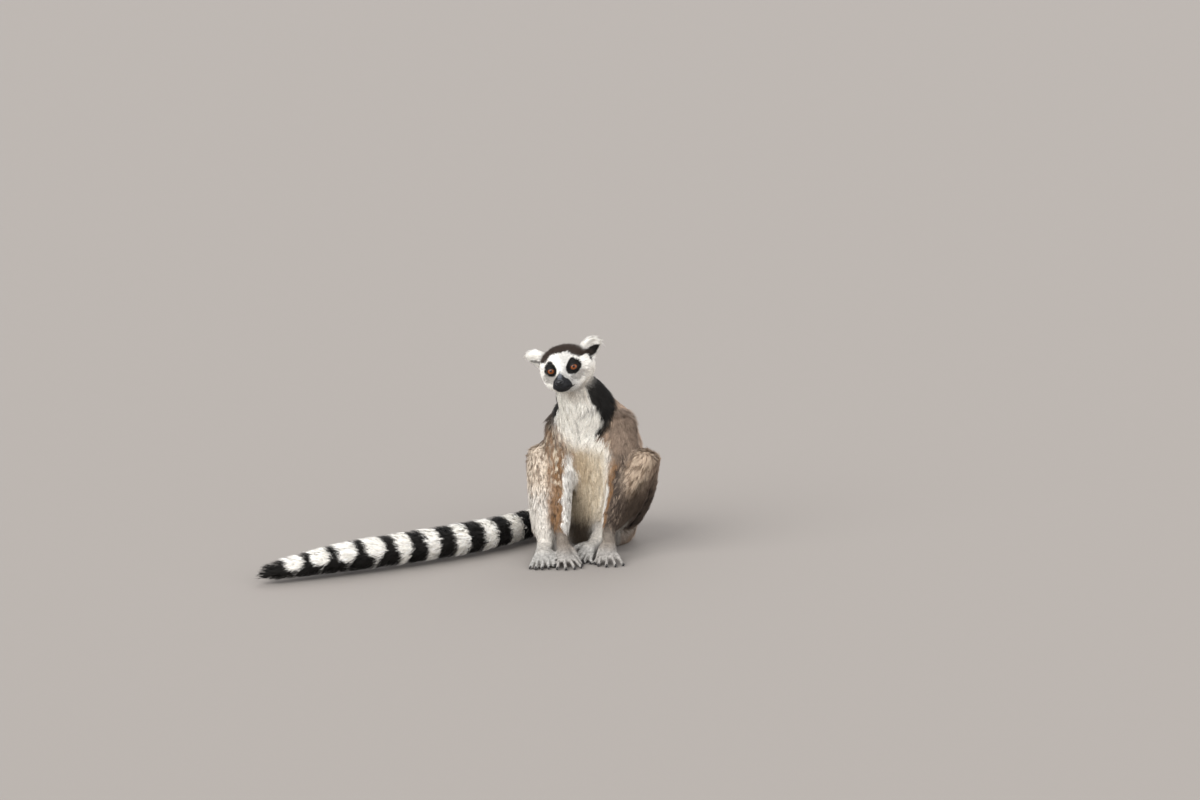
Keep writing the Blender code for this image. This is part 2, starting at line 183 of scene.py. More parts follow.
def round_torso(points):
    """Angle round the torso in degrees: 0 at the breast, positive to the animal's left."""
    x = points[:, 0] - np.interp(points[:, 2], SPINE_Z, SPINE_XY[:, 0])
    y = points[:, 1] - np.interp(points[:, 2], SPINE_Z, SPINE_XY[:, 1])
    return np.degrees(np.arctan2(x, -y))


def limb_axis(name, down):
    """The length of a limb's solid, pointing down it or up it."""
    points = points_of(name)
    spread = points - points.mean(axis=0)
    axis = np.linalg.svd(spread, full_matrices=False)[2][0]
    return axis * (-1 if (axis[2] > 0) == down else 1)


def kind_of(name):
    return next(k for k in KINDS if name.startswith(k))


def joined_solids(names, swell):
    """One mesh of all these solids, each grown a little so that they run into each other."""
    bm = bmesh.new()
    owners = []
    for name in names:
        part = bmesh.new()
        part.from_mesh(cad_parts[name].data)
        bmesh.ops.remove_doubles(part, verts=part.verts, dist=1e-6)
        bmesh.ops.recalc_face_normals(part, faces=part.faces)
        part.normal_update()
        for v in part.verts:
            v.co += v.normal * swell
        solid = bpy.data.meshes.new(name)
        part.to_mesh(solid)
        part.free()
        bm.from_mesh(solid)
        owners += [name] * (len(bm.faces) - len(owners))
        bpy.data.meshes.remove(solid)
    bm.normal_update()
    return bm, owners


def placed(name, data):
    obj = bpy.data.objects.new(name, data)
    bpy.context.scene.collection.objects.link(obj)
    return obj


def evaluated(mesh, kind, coarse=None, **settings):
    """The mesh after one modifier, which may work on the coarse points alone."""
    obj = placed(kind, mesh)
    if coarse is not None:
        obj.vertex_groups.new(name="coarse").add(coarse.tolist(), 1.0, "REPLACE")
    step = obj.modifiers.new("step", kind)
    for key, value in settings.items():
        setattr(step, key, value)
    bpy.context.view_layer.update()
    graph = bpy.context.evaluated_depsgraph_get()
    made = bpy.data.meshes.new_from_object(obj.evaluated_get(graph))
    bpy.data.objects.remove(obj)
    return made


def largest_body(bm):
    left, best = set(bm.verts), set()
    while left:
        body, edge = set(), [left.pop()]
        while edge:
            v = edge.pop()
            body.add(v)
            near = {e.other_vert(v) for e in v.link_edges} & left
            left -= near
            edge.extend(near)
        best = max(best, body, key=len)
    bmesh.ops.delete(bm, geom=[v for v in bm.verts if v not in best], context="VERTS")


def spread_out(values, edges, times, share=0.5, weight=None):
    """Averages values over neighbouring points of the skin."""
    a, b = edges[:, 0], edges[:, 1]
    count = len(values)
    degree = np.maximum(np.bincount(a, minlength=count) + np.bincount(b, minlength=count), 1)
    flat = values.reshape(count, -1).astype(float)
    for _ in range(times):
        mean = np.column_stack([
            (np.bincount(a, flat[b, k], count) + np.bincount(b, flat[a, k], count)) / degree
            for k in range(flat.shape[1])
        ])
        step = share * (mean - flat)
        flat = flat + (step if weight is None else step * weight[:, None])
    return flat.reshape(values.shape)


def normals_of(points, triangles):
    """Area-weighted normals at the points."""
    a, b, c = (points[triangles[:, k]] for k in range(3))
    face = np.cross(b - a, c - a)
    total = np.column_stack([
        sum(np.bincount(triangles[:, k], face[:, axis], len(points)) for k in range(3)) for axis in range(3)
    ])
    return unit(total)


def head_depth(points):
    """The coat's depth over the head: a millimetre on the muzzle and lids, deepest behind the cheeks."""
    side, ahead, up = in_head(points).T / MM
    depth = 4.6 + 1.6 * ramp(10, -25, ahead) + 1.2 * ramp(-8, -30, up)
    depth = depth + (2.2 - depth) * ramp(17, 27, ahead)
    return depth + (0.7 - depth) * ramp(34, 46, ahead)


def owner_at(point):
    name = owners[solid_tree.find_nearest(point)[2]]
    return "head" if name.startswith(("eye", "nose")) else name


def arrays_of(mesh):
    """Points, edges and corner indices of a mesh as arrays."""
    points = np.empty(len(mesh.vertices) * 3)
    mesh.vertices.foreach_get("co", points)
    edges = np.empty(len(mesh.edges) * 2, int)
    mesh.edges.foreach_get("vertices", edges)
    corners = np.empty(len(mesh.loops), int)
    mesh.loops.foreach_get("vertex_index", corners)
    return points.reshape(-1, 3), edges.reshape(-1, 2), corners


def kinds_of(points):
    names = np.array([owner_at(Vector(p)) for p in points])
    return names, np.array([KINDS.index(kind_of(name)) for name in names])


def of_kind(kinds, *names):
    return np.isin(kinds, [KINDS.index(name) for name in names])


DIGIT_LENGTH, DIGIT_APART = 22 * MM, 6 * MM
CLEFT_DEPTH, CLEFT_HALF = 3.8 * MM, 2.4  # the half width in millimetres
LEVEL = (1, 1, 0)  # leaves the height out


def wrist_of(points):
    """The middle of a paw's top, where the limb above meets it."""
    return points[points[:, 2] > points[:, 2].max() - 4 * MM].mean(axis=0)


def digit_tips(paw, side):
    """The five digit ends of a hand or foot, furthest out near the floor: (end, heading, paw)."""
    points = points_of(f"{paw}_{side}")
    wrist = wrist_of(points)
    flat = length_of(points[:, :2] - wrist[:2])
    ahead = unit((points[flat.argmax()] - wrist) * LEVEL)
    tips = []
    for i in np.argsort(-flat):
        here = points[i]
        heading = unit((here - wrist) * LEVEL)
        furthest = flat[i] > flat[length_of(points - here) < DIGIT_APART].max() - 1e-6
        new = all(length_of(here - tip[0]) > DIGIT_APART for tip in tips)
        if furthest and new and heading @ ahead > 0.3 and here[2] < DIGIT_APART and len(tips) < 5:
            away = (here - points) * LEVEL
            reach = length_of(away)
            behind = unit(away + 1e-9) @ heading > 0.80
            ring = points[behind & (reach > 5 * MM) & (reach < 11 * MM)]
            tips.append((here, unit((here - ring.mean(axis=0)) * LEVEL), paw))
    return tips


TIPS = [tip for side in SIDES for paw in ("hand", "foot") for tip in digit_tips(paw, side)]
TIP_POINTS, TIP_HEADINGS = (np.array([tip[k] for tip in TIPS]) for k in (0, 1))

solids, owners = joined_solids(list(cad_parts), JOIN_SWELL)
solid_tree = BVHTree.FromBMesh(solids)
solid_mesh = bpy.data.meshes.new("solids")
solids.to_mesh(solid_mesh)
solids.free()
even = evaluated(solid_mesh, "REMESH", mode="VOXEL", voxel_size=SKIN_GRAIN)
bm = bmesh.new()
bm.from_mesh(even)
largest_body(bm)
bm.to_mesh(even)
bm.free()

# The joints are rounded on this even grain. Then the body's grain is made coarser, and that of the
# face and the digits finer.
points, edges, _ = arrays_of(even)
_, kinds = kinds_of(points)
rounding = np.array([JOINT_ROUNDING.get(k, 1.0) for k in KINDS])[kinds]
rounding = spread_out(rounding[:, None], edges, 6)[:, 0]
points = spread_out(points, edges, ROUNDING_PASSES, 0.5, rounding)
even.vertices.foreach_set("co", points.ravel())
fine = of_kind(kinds, "hand", "foot", "ear")
fine |= of_kind(kinds, "head") & (in_head(points)[:, 1] > FINE_FACE_FROM)
skin_mesh = evaluated(
    even, "DECIMATE", coarse=np.flatnonzero(~fine), vertex_group="coarse", ratio=COARSE_SHARE
)
bm = bmesh.new()
bm.from_mesh(skin_mesh)
middles = np.array([f.calc_center_median() for f in bm.faces])
on_face = in_head(middles)[:, 1] > FINE_FACE_FROM
on_digit = (middles[:, 2] < FINE_FOOT_TO) & (distance_to(middles, TIP_POINTS) < DIGIT_LENGTH)
finer = [f for f, some in zip(bm.faces, on_face) if some and owner_at(f.calc_center_median()) == "head"]
finer += [f for f, some in zip(bm.faces, on_digit) if some]
fine_edges = list(dict.fromkeys(e for f in finer for e in f.edges))  # in the same order each run
bmesh.ops.subdivide_edges(bm, edges=fine_edges, cuts=1, use_grid_fill=True)
bmesh.ops.triangulate(bm, faces=bm.faces)
bm.to_mesh(skin_mesh)
bm.free()

skin_points, skin_edges, skin_faces = arrays_of(skin_mesh)
skin_faces = skin_faces.reshape(-1, 3)
skin_owner, skin_kind = kinds_of(skin_points)
share = np.zeros((len(skin_points), len(KINDS)))
share[np.arange(len(skin_points)), skin_kind] = 1
share = spread_out(share, skin_edges, 14)
depth = np.array([COAT_DEPTH[k] for k in KINDS])[skin_kind]
tail_reach, tail_way = along_tail(skin_points)
height = skin_points[:, 2] / MM
on_head, on_tail = of_kind(skin_kind, "head"), of_kind(skin_kind, "tail")
of_paw = of_kind(skin_kind, "hand", "foot")
depth = np.where(on_head, head_depth(skin_points), depth)
depth = np.where(on_tail, depth - TAIL_ROOT_THINNER * ramp(60 * MM, 0, tail_reach), depth)
lower_limb = of_kind(skin_kind, "forearm", "shin")
depth = np.where(lower_limb, depth * (ANKLE_SHARE + (1 - ANKLE_SHARE) * ramp(25, 80, height)), depth)
depth = np.where(of_paw, depth + WRIST_DEEPER * ramp(18, 36, height), depth)
depth = spread_out(depth[:, None], skin_edges, 12)[:, 0] * MM

# The way the coat lies at each point of the skin, worked out before the skin is drawn in: back from
# the nose, out along the ears, down the neck and trunk, and down each limb and the tail to its end.
KNEE_FOLD = 24 * MM  # of the thigh's top, where the coat turns forward over the knee
KNEE_TOP = {side: points_of(f"thigh_{side}")[:, 2].max() for side in SIDES}
lie = np.zeros_like(skin_points)
lie[of_kind(skin_kind, "neck")] = (0, 0.30, -1.0)
lie[of_kind(skin_kind, "trunk")] = (0, 0.25, -1.0)
nose_tip = np.array(corner_mean("nose"))
lie[on_head] = unit(skin_points[on_head] - nose_tip) + np.array((0, 0, -0.25))
lie[on_tail] = tail_way[on_tail]
for side in SIDES:
    lie[skin_owner == f"ear_{side}"] = corner_mean(f"ear_{side}") - head_middle - head_ahead * 6 * MM
    for kind, down in (("upper_arm", True), ("forearm", True), ("thigh", False), ("shin", True)):
        lie[skin_owner == f"{kind}_{side}"] = limb_axis(f"{kind}_{side}", down)
    fold = KNEE_TOP[side] - KNEE_FOLD
    lie[(skin_owner == f"thigh_{side}") & (skin_points[:, 2] > fold)] = (0, -0.9, -0.5)
    for paw in ("hand", "foot"):
        points = points_of(f"{paw}_{side}")
        wrist = wrist_of(points)
        ends = points[np.argsort(-length_of(points[:, :2] - wrist[:2]))[:30]].mean(axis=0)
        lie[skin_owner == f"{paw}_{side}"] = unit(ends - wrist)
# on the breast it runs in towards the parting
angle = round_torso(skin_points)
inwards = 1.1 * np.sin(np.radians(2 * angle)) * ramp(165, 190, height)
breast = of_kind(skin_kind, "neck", "trunk") & (np.abs(angle) < 75)
lie[breast, 0] -= (inwards * ramp(255, 225, height))[breast]
lie = unit(spread_out(unit(lie), skin_edges, 20))


def hump(values, half):
    """1 at nought, falling away to nothing past the half width."""
    return np.exp(-((values / half) ** 2))


def between_digits(points):
    """1 in the cleft between two neighbouring digits, 0 on the digits themselves."""
    away = TIP_POINTS[None] - points[:, None]
    along = (away * TIP_HEADINGS[None]).sum(axis=2)
    aside = np.abs(away[:, :, 0] * TIP_HEADINGS[None, :, 1] - away[:, :, 1] * TIP_HEADINGS[None, :, 0])
    aside = np.where((along > -4 * MM) & (along < DIGIT_LENGTH), aside, 1.0)
    nearest = np.sort(aside, axis=1)[:, :2] / MM
    cleft = hump(nearest[:, 1] - nearest[:, 0], CLEFT_HALF) * (nearest[:, 1] < 12)
    longest = np.where(aside < 12 * MM, along, -1.0).max(axis=1)
    return cleft * ramp(DIGIT_LENGTH, DIGIT_LENGTH - 10 * MM, longest)


smooth_normals = unit(spread_out(normals_of(skin_points, skin_faces), skin_edges, 4))
sole = of_paw & (smooth_normals[:, 2] < -0.5)
depth = np.where(sole, SOLE_DEPTH, depth)
on_paw = of_paw & ~sole
depth[on_paw] += CLEFT_DEPTH * between_digits(skin_points[on_paw])
skin_points = skin_points - smooth_normals * depth[:, None]
skin_points = spread_out(skin_points, skin_edges, 2, 0.4)

# ---------------------------------------------------------------------------
# The face of the skin: lids stretched over the eyeballs, a brow, the line of the mouth
# with its lips, and the whisker pads. All in the head's own frame, in millimetres.
# ---------------------------------------------------------------------------
EYEBALL = 8.5  # radius
GAZE = {"left": (16, 8), "right": (5, 8)}  # degrees to the animal's left, and up
LID_WIDE, LID_UP, LID_DOWN, LID_THICK = 5.9, 3.3, 4.1, 1.2  # the opening's half sizes, and the lids
LID_TILT = math.radians(9)  # the outer corner is higher
BROW_RISE, LIP_GROOVE, WHISKER_PAD = 0.9, 1.0, 0.9


def from_head(points):
    return np.asarray(points) @ head_axes + np.array(head_middle)


def eye_frame(side):
    """(centre, outwards, ahead along the gaze, up) of an eye in the head's frame, in millimetres."""
    turn, lift = (math.radians(v) for v in GAZE[side])
    ahead = np.array((math.sin(turn) * math.cos(lift), math.cos(turn) * math.cos(lift), math.sin(lift)))
    out = np.array((math.cos(turn), -math.sin(turn), 0)) * SIDES[side]
    up = unit(np.array((0, 0, 1)) - ahead * ahead[2])
    cos, sin = math.cos(LID_TILT), math.sin(LID_TILT)
    return in_head([eye_centre[side]])[0] / MM, out * cos + up * sin, ahead, up * cos - out * sin


def mouth_height(ahead):
    """The mouth's line, from its corner under the eye to the front of the lips."""
    return -25.4 - 1.9 * np.sin(np.pi * np.clip((ahead - 33) / 29, 0, 1))


def opening(out, up):
    """1 on the edge of the lids, less inside it."""
    return np.sqrt((out / LID_WIDE) ** 2 + (up / np.where(up > 0, LID_UP, LID_DOWN)) ** 2)


def shaped_face(points):
    place = in_head(points) / MM
    for side in SIDES:
        centre, out, ahead, up = eye_frame(side)
        away = place - centre
        x, y, z = away @ out, away @ up, away @ ahead
        around, edge = np.hypot(x, y), opening(x, y)
        ball = np.sqrt(np.maximum(EYEBALL**2 - around**2, 0))
        lid = np.sqrt(np.maximum((EYEBALL + LID_THICK) ** 2 - around**2, 0))
        inner = ramp(0.88, 1.04, edge)
        outer = ramp(1.05, 2.0, edge)
        cover = np.maximum(z, ball + LID_THICK)
        wanted = (ball - 2.6) * (1 - inner) + inner * (lid * (1 - outer) + cover * outer)
        crease = 0.3 * hump(edge - 1.45, 0.10) * ramp(-1, 2, y)
        brow = BROW_RISE * hump(edge - 2.35, 0.45) * ramp(-2, 5, y)
        near = (z > -2) & (around < 17)
        shift = np.where(near, wanted - z - crease + brow, 0)
        place = place + shift[:, None] * ahead
    side, ahead, up = place.T
    drop = up - mouth_height(ahead)
    on_muzzle = ramp(31, 36, ahead)
    groove = LIP_GROOVE * hump(drop, 0.75) * on_muzzle
    chin = 0.9 * ramp(-0.3, -2.0, drop) * on_muzzle
    pad = WHISKER_PAD * np.exp(-(((drop - 4.2) / 2.6) ** 2) - (((ahead - 53) / 5.0) ** 2))
    middle = np.column_stack([np.zeros_like(side), np.minimum(ahead, 52), mouth_height(ahead) + 3])
    outward = unit(place - middle)
    place = place + outward * (pad - groove - chin)[:, None]
    return from_head(place * MM)


on_face = on_head & (in_head(skin_points)[:, 1] > FINE_FACE_FROM)
skin_points = np.where(on_face[:, None], shaped_face(skin_points), skin_points)
skin_points[:, 2] = np.maximum(skin_points[:, 2], 0)  # nothing sinks into the floor
skin_normals = normals_of(skin_points, skin_faces)

# ---------------------------------------------------------------------------
# The markings, which skin and coat share, with some shade and sheen painted among them: worked out from
# where a point lies on the body.
# Head: white, with a black-brown cap, black patches round the eyes and a black muzzle.
# Body: grey-brown, white in front with an ochre belly, black from the nape to the shoulders.
# ---------------------------------------------------------------------------
# Some entries paint light and shade: the pale grey on the left of the face, the tan of the left cheek and
# the left shin's darker cream are painted shade; the dark grey also paints the shade below the eye patches,
# the throat's brown also the shadow under the chin, and the bridge's bluish grey is a painted sheen.
FUR = {
    "white": (0.86, 0.83, 0.77), "face": (0.60, 0.585, 0.55), "cheek": (0.50, 0.44, 0.36),
    "breast": (0.80, 0.77, 0.70), "belly": (0.56, 0.48, 0.36), "cream": (0.66, 0.58, 0.45),
    "ochre": (0.33, 0.245, 0.15), "grey_brown": (0.32, 0.235, 0.175), "rust": (0.36, 0.25, 0.17),
    "dark": (0.045, 0.032, 0.024),
    "grey_and_shade": (0.13, 0.115, 0.10), "bridge_sheen": (0.080, 0.085, 0.097), "cap": (0.026, 0.017, 0.012),
    "black": (0.009, 0.008, 0.007), "muzzle": (0.012, 0.012, 0.013), "stripe": (0.20, 0.108, 0.050),
    "shin": (0.58, 0.49, 0.39), "shaded_left_shin": (0.44, 0.345, 0.255), "mottle": (0.15, 0.10, 0.065),
    "agouti_tip": (0.25, 0.19, 0.14), "throat_brown_and_shade": (0.30, 0.235, 0.16), "hand": (0.25, 0.235, 0.215),
    "wrist": (0.20, 0.17, 0.14), "foot": (0.28, 0.27, 0.25), "heel": (0.62, 0.58, 0.52),
    "pad": (0.02, 0.019, 0.02),
}
FUR = {name: np.array(value) for name, value in FUR.items()}
RING_FIRST, RING_LAST = 62 * MM, 40 * MM  # a pair of rings at the tail's root and near its tip
RING_SHIFT = 0.42
# outwards, inwards, above and below the eye, in millimetres
EYE_PATCH = {"left": (13.5, 13.0, 15.0, 10.5), "right": (11.5, 10.0, 16.0, 8.5)}
PATCH_TILT = 0.16  # the patch's outer end lies higher than its inner one
# the black in each ear's cup: half sizes, place along and below the ear's middle, strength
EAR_CUP = {"left": ((16, 6.8), (0, 5.5), 1.0), "right": ((10, 2.6), (0, 2.5), 0.6)}
# (height, degrees from the breast's middle) where the white ends, and where the black does
WHITE_TO = {
    "left": (
        (100, 60), (150, 47), (163, 42), (179, 36), (186, 19), (194, 27), (206, 36), (221, 43), (233, 39),
        (243, 31), (258, 33), (274, 40), (290, 46),
    ),
    "right": (
        (100, 60), (150, 50), (200, 50), (214, 47), (226, 42), (238, 42), (258, 50), (290, 60),
    ),
}
BLACK_TO = {
    "left": ((178, 0), (186, 22), (190, 36), (196, 47), (211, 60), (224, 88), (242, 122), (260, 190)),
    "right": ((178, 0), (192, 62), (204, 76), (222, 94), (242, 122), (260, 190)),
}


def mix(low, high, amount):
    return low + (high - low) * np.clip(amount, 0, 1)[:, None]


def ripple(points, size, seed, stretch=1.0):
    """Smooth noise from -1 to 1 in lumps of this many millimetres; a stretch under 1 makes them tall."""
    offset = np.array((17.3, 5.1, 9.7)) * seed
    return np.array([noise.noise(Vector(p)) for p in points * (1, 1, stretch) / (size * MM) + offset])


def head_colours(points):
    side, ahead, up = in_head(points).T / MM
    wide = np.abs(side)
    ragged = ripple(points, 3, 1)
    # painted shade: the face's left side, turned from the light, is painted greyer than its right
    left_side_shade = ramp(-6, 4, side)
    ground = mix(FUR["white"] * 0.94, FUR["face"], left_side_shade * ramp(30, 14, wide))
    # painted shade: the lower left cheek, on the side turned from the light, is painted a mottled tan
    cheek = ramp(6, -14, up) * ramp(10, 22, side) * ramp(36, 12, ahead)
    ground = mix(ground, FUR["cheek"], (0.45 + 0.5 * ripple(points, 6, 19)) * cheek)
    border = 25 - 11.5 * ramp(10, 31, wide) - 0.45 * np.maximum(2 - ahead, 0)
    nape = ramp(-16, -26, ahead) * ramp(26, 16, wide)
    cap = ramp(-1.0, 1.0, up - np.where(ahead > -12, border, 8) + 0.7 * ragged)
    colour = mix(ground, FUR["cap"], np.maximum(cap, nape))
    for name in SIDES:
        outer, inner, above, below = EYE_PATCH[name]
        centre, out, gaze, rise = eye_frame(name)
        away = np.column_stack([side, ahead, up]) - centre
        x, y, z = away @ out, away @ rise, away @ gaze
        y = y - PATCH_TILT * x
        above = above - 3.0 * (1 - hump(x - 2, 5))
        reach = np.hypot(x / np.where(x > 0, outer, inner), y / np.where(y > 0, above, below))
        reach = reach + 0.06 * ragged
        # painted shade: a dark grey below each black eye patch, under the eye
        grey_and_shade = np.hypot((x - 2) / 12, (y + below + 3) / 7.5) + 0.35 * ragged
        grey_and_shade = 0.75 * ramp(1.4, 0.7, grey_and_shade)
        colour = mix(colour, FUR["grey_and_shade"], np.where(z > -4, grey_and_shade, 0))
        colour = mix(colour, FUR["black"], np.where(z > -6, ramp(1.06, 0.94, reach), 0))
    edge = np.interp(up, (-30, -26, -17, -9, -4, 0), (43, 42, 47.5, 50, 48, 44)) + 0.8 * ragged
    edge += np.where(up > -12, 0.5 * np.maximum(wide - 5.5, 0), 0)
    drop = up - mouth_height(ahead)
    muzzle = ramp(-1.2, 1.2, ahead - edge) * ramp(-6.5, -4.5, drop)
    lips = ramp(1.9, 0.8, np.abs(drop + 0.3)) * ramp(34, 38, ahead)
    colour = mix(colour, FUR["grey_and_shade"], 0.45 * ramp(34, 46, ahead) * ramp(2, -8, up))
    # painted highlight: a bluish-grey sheen down the top of the muzzle's bridge
    bridge_sheen = ramp(-15, -8, up) * ramp(5.0, 1.5, np.abs(side - 0.5))
    below_ear = ramp(1.2, 0.8, np.hypot((ahead + 6) / 4.5, (up - 7) / 6.5)) * (side > 28)
    colour = mix(colour, FUR["black"], below_ear)
    return mix(colour, mix(FUR["muzzle"], FUR["bridge_sheen"], bridge_sheen), np.maximum(muzzle, lips))


def torso_colours(points):
    angle, height = round_torso(points), points[:, 2] / MM
    ragged = ripple(points, 9, 2) + 0.5 * ripple(points, 3, 3)
    streak = ripple(points, 5, 4, 0.22)
    turn = np.abs(angle)
    white_edge, black_edge = np.where(
        angle > 0,
        [np.interp(height, *zip(*rows)) for rows in (WHITE_TO["left"], BLACK_TO["left"])],
        [np.interp(height, *zip(*rows)) for rows in (WHITE_TO["right"], BLACK_TO["right"])],
    )
    back = mix(FUR["grey_brown"], FUR["rust"], 0.35 + 0.6 * ragged)
    back = back * (1 + 0.28 * ripple(points, 5, 5))[:, None]
    middle = ramp(48, 20, turn + 14 * streak)
    front = mix(FUR["breast"], FUR["belly"], middle * ramp(182, 150, height))
    ochre = ramp(34, 4, np.abs(angle + 6) + 16 * streak) * ramp(180, 150, height)
    front = mix(front, FUR["ochre"], 0.8 * ochre * (0.55 + 0.45 * ramp(90, 130, height)))
    # painted shade: the front darkens towards the floor, in the gap between the legs
    front = mix(front, FUR["dark"], 0.85 * ramp(62, 36, height))
    # a brown tint on the throat, which also paints the shadow under the chin
    throat_brown_and_shade = ramp(238, 250, height) * ramp(42, 12, np.abs(angle - 8))
    front = mix(front, FUR["throat_brown_and_shade"], (0.4 + 0.4 * streak) * throat_brown_and_shade)
    parting = hump(angle + 4, 2.6) * ramp(174, 188, height) * ramp(217, 210, height)
    slant = height - 216 - 0.62 * angle
    strands = hump(slant, 2.2) + 0.7 * hump(slant + 8, 1.8) * ramp(18, 26, angle)
    strands = strands * ramp(0, 6, angle) * (0.6 + 0.4 * ramp(-0.5, 0.1, ripple(points, 5, 20)))
    front = mix(front, FUR["dark"], np.maximum(0.45 * parting, 0.85 * strands))
    # painted shade: the trunk's left side, low down by the floor, is darkened
    rump_shade = ramp(75, 25, height) * ramp(120, 60, turn) * (angle > 0)
    back = mix(back, FUR["dark"], 0.7 * rump_shade)
    hem = ramp(26, 2, turn - black_edge + 8 * ragged) * (height > 170)
    back = mix(back, FUR["dark"], 0.55 * hem)
    colour = mix(back, FUR["black"] * 1.3, ramp(5, -5, turn - black_edge + 6 * ragged))
    return mix(colour, front, ramp(3.5, -3.5, turn - white_edge + 3.5 * ragged))


def limb_angle(normals, sign):
    """Degrees round a standing limb: 0 ahead, positive outwards."""
    return np.degrees(np.arctan2(normals[:, 0] * sign, -normals[:, 1]))


def arm_colours(points, normals, sign):
    """Agouti outside, a narrow fox-brown line down the front, and white inside."""
    angle = limb_angle(normals, sign)
    height = points[:, 2] / MM
    ragged = ripple(points, 7, 6) + 0.6 * ripple(points, 3.0, 7)
    line_from, line_to = (-42, -16) if sign > 0 else (-36, 42)
    line_to = line_to + 14 * ramp(120, 150, height)
    darker = ramp(180, 130, height) * 0.95 + 0.6 * ripple(points, 4, 8)
    agouti = mix(FUR["grey_brown"] * 0.72, FUR["dark"], darker)
    agouti = mix(agouti, FUR["agouti_tip"], 0.9 * ramp(0.25, 0.45, ripple(points, 3.2, 15)))
    angle = angle + 9 * ragged
    greyer = 0.6 * ramp(135, 175, height) + 0.8 * ripple(points, 4, 16)
    line = mix(FUR["stripe"], FUR["agouti_tip"], greyer)
    if sign < 0:
        tufts = ramp(0.0, 0.4, ripple(points, 5, 21, 0.4))
        line = mix(line, FUR["cream"], 0.7 * tufts * ramp(95, 125, height))
        line = mix(line, FUR["dark"], 0.75 * ramp(0.15, 0.5, ripple(points, 4, 22)))
    colour = mix(agouti, line, ramp(line_to + 9, line_to - 7, angle))
    if sign < 0:
        shoulder = ramp(180, 198, height) * ramp(18, 42, angle) * ramp(110, 80, angle)
        colour = mix(colour, FUR["dark"], 0.85 * shoulder)
    inner = ramp(line_from + 7, line_from - 7, angle) * (angle > -150)
    flecks = 0.45 * ramp(0.12, 0.45, ripple(points, 4, 24, 0.6))
    inside = mix(FUR["white"] * 0.80, FUR["agouti_tip"], flecks)
    colour = mix(colour, inside, inner * ramp(190, 165, height + 6 * ragged))
    return mix(colour, FUR["wrist"], 0.8 * ramp(52, 34, height))


def leg_colours(points, normals, sign, shin):
    """Cream flecked with brown in front and grey-brown behind; the left leg is painted in shade, darker all
    over and darkest low down and on its outer side.
    """
    height = points[:, 2] / MM
    flecks = ramp(0.08, 0.36, ripple(points, 4.5, 9, 0.7))
    blots = 0.8 * ramp(0.2, 0.5, ripple(points, 9, 17)) * ramp(90, 130, height)
    flecks = np.maximum(flecks, blots)
    brown = FUR["grey_brown"] * (1 + 0.35 * ripple(points, 5, 10))[:, None]
    if sign > 0:
        # painted shade: the left shin's cream is a darker copy of the right's, and darkens more low down
        pale = mix(FUR["shaded_left_shin"], FUR["mottle"], 0.9 * flecks)
        pale = mix(pale, FUR["mottle"] * 0.6, 0.8 * ramp(128, 92, height + 8 * ripple(points, 6, 23)))
    else:
        pale = mix(FUR["shin"], FUR["heel"], ramp(120, 80, height))
        pale = mix(pale, FUR["mottle"], 0.8 * ramp(50, 110, height) * flecks)
    ahead = ramp(-0.25, 0.30, -normals[:, 1] + 0.5 * normals[:, 2] - 0.25 * normals[:, 0] * sign)
    ahead = np.maximum(ahead, 0.85 * ramp(140, 156, height))
    # painted shade on the left leg's outer side, deepening towards the floor
    outer = ramp(0.45, 0.85, normals[:, 0] * sign - 0.4 * normals[:, 2]) * (sign > 0)
    colour = mix(brown, pale, ahead * (1.0 if shin else 0.75 + 0.25 * ramp(140, 156, height)))
    outer = outer * ramp(150, 75, height + 12 * ripple(points, 9, 18))
    colour = mix(colour, FUR["dark"], 0.85 * outer)
    inner = ramp(0.35, 0.8, -normals[:, 0] * sign)
    colour = mix(colour, FUR["cream"], 0.8 * inner)
    return mix(colour, FUR["heel"], ramp(60, 40, height) * np.maximum(ahead, inner))


def paw_colours(points, digit, above):
    """Grey digits with painted shade in the clefts between them and black pads; the wrist or heel has a
    colour of its own.
    """
    near = distance_to(points, TIP_POINTS) / MM
    height = points[:, 2] / MM
    base = mix(digit, above, ramp(16, 34, height))
    base = base * (1 + 0.25 * ripple(points, 3, 11))[:, None]
    # painted shade in the clefts between the digits
    colour = mix(base, FUR["dark"], 0.85 * between_digits(points))
    colour = mix(colour, FUR["pad"], ramp(4.6, 3.0, near))
    return mix(colour, FUR["pad"], 0.9 * ramp(3.4, 1.6, height))


def tail_colours(points, normals):
    reach, _ = along_tail(points)
    end = TAIL_REACH[-1]
    period = RING_FIRST + (RING_LAST - RING_FIRST) * reach / end
    rate = (RING_LAST - RING_FIRST) / end
    turns = np.log(1 + rate * reach / RING_FIRST) / rate + RING_SHIFT
    ragged = 0.05 * ripple(points, 7, 12) + 0.04 * ripple(points, 3, 13)
    wave = np.cos(2 * np.pi * (turns + ragged * 55 * MM / period))
    # painted light: over the tail's outer half its upper side is painted whiter and its underside darker
    upper = ramp(-0.15, 0.45, normals[:, 2])
    wave = wave - 0.15 + (0.15 + 0.6 * upper - 1.0 * (1 - upper)) * ramp(0.45, 0.75, reach / end)
    white = ramp(-0.12, 0.22, wave)
    colour = mix(FUR["black"] * 1.2, FUR["white"], white)
    colour = mix(FUR["grey_brown"], colour, ramp(22 * MM, 40 * MM, reach))
    return mix(colour, FUR["black"], ramp(end - 48 * MM, end - 34 * MM, reach))


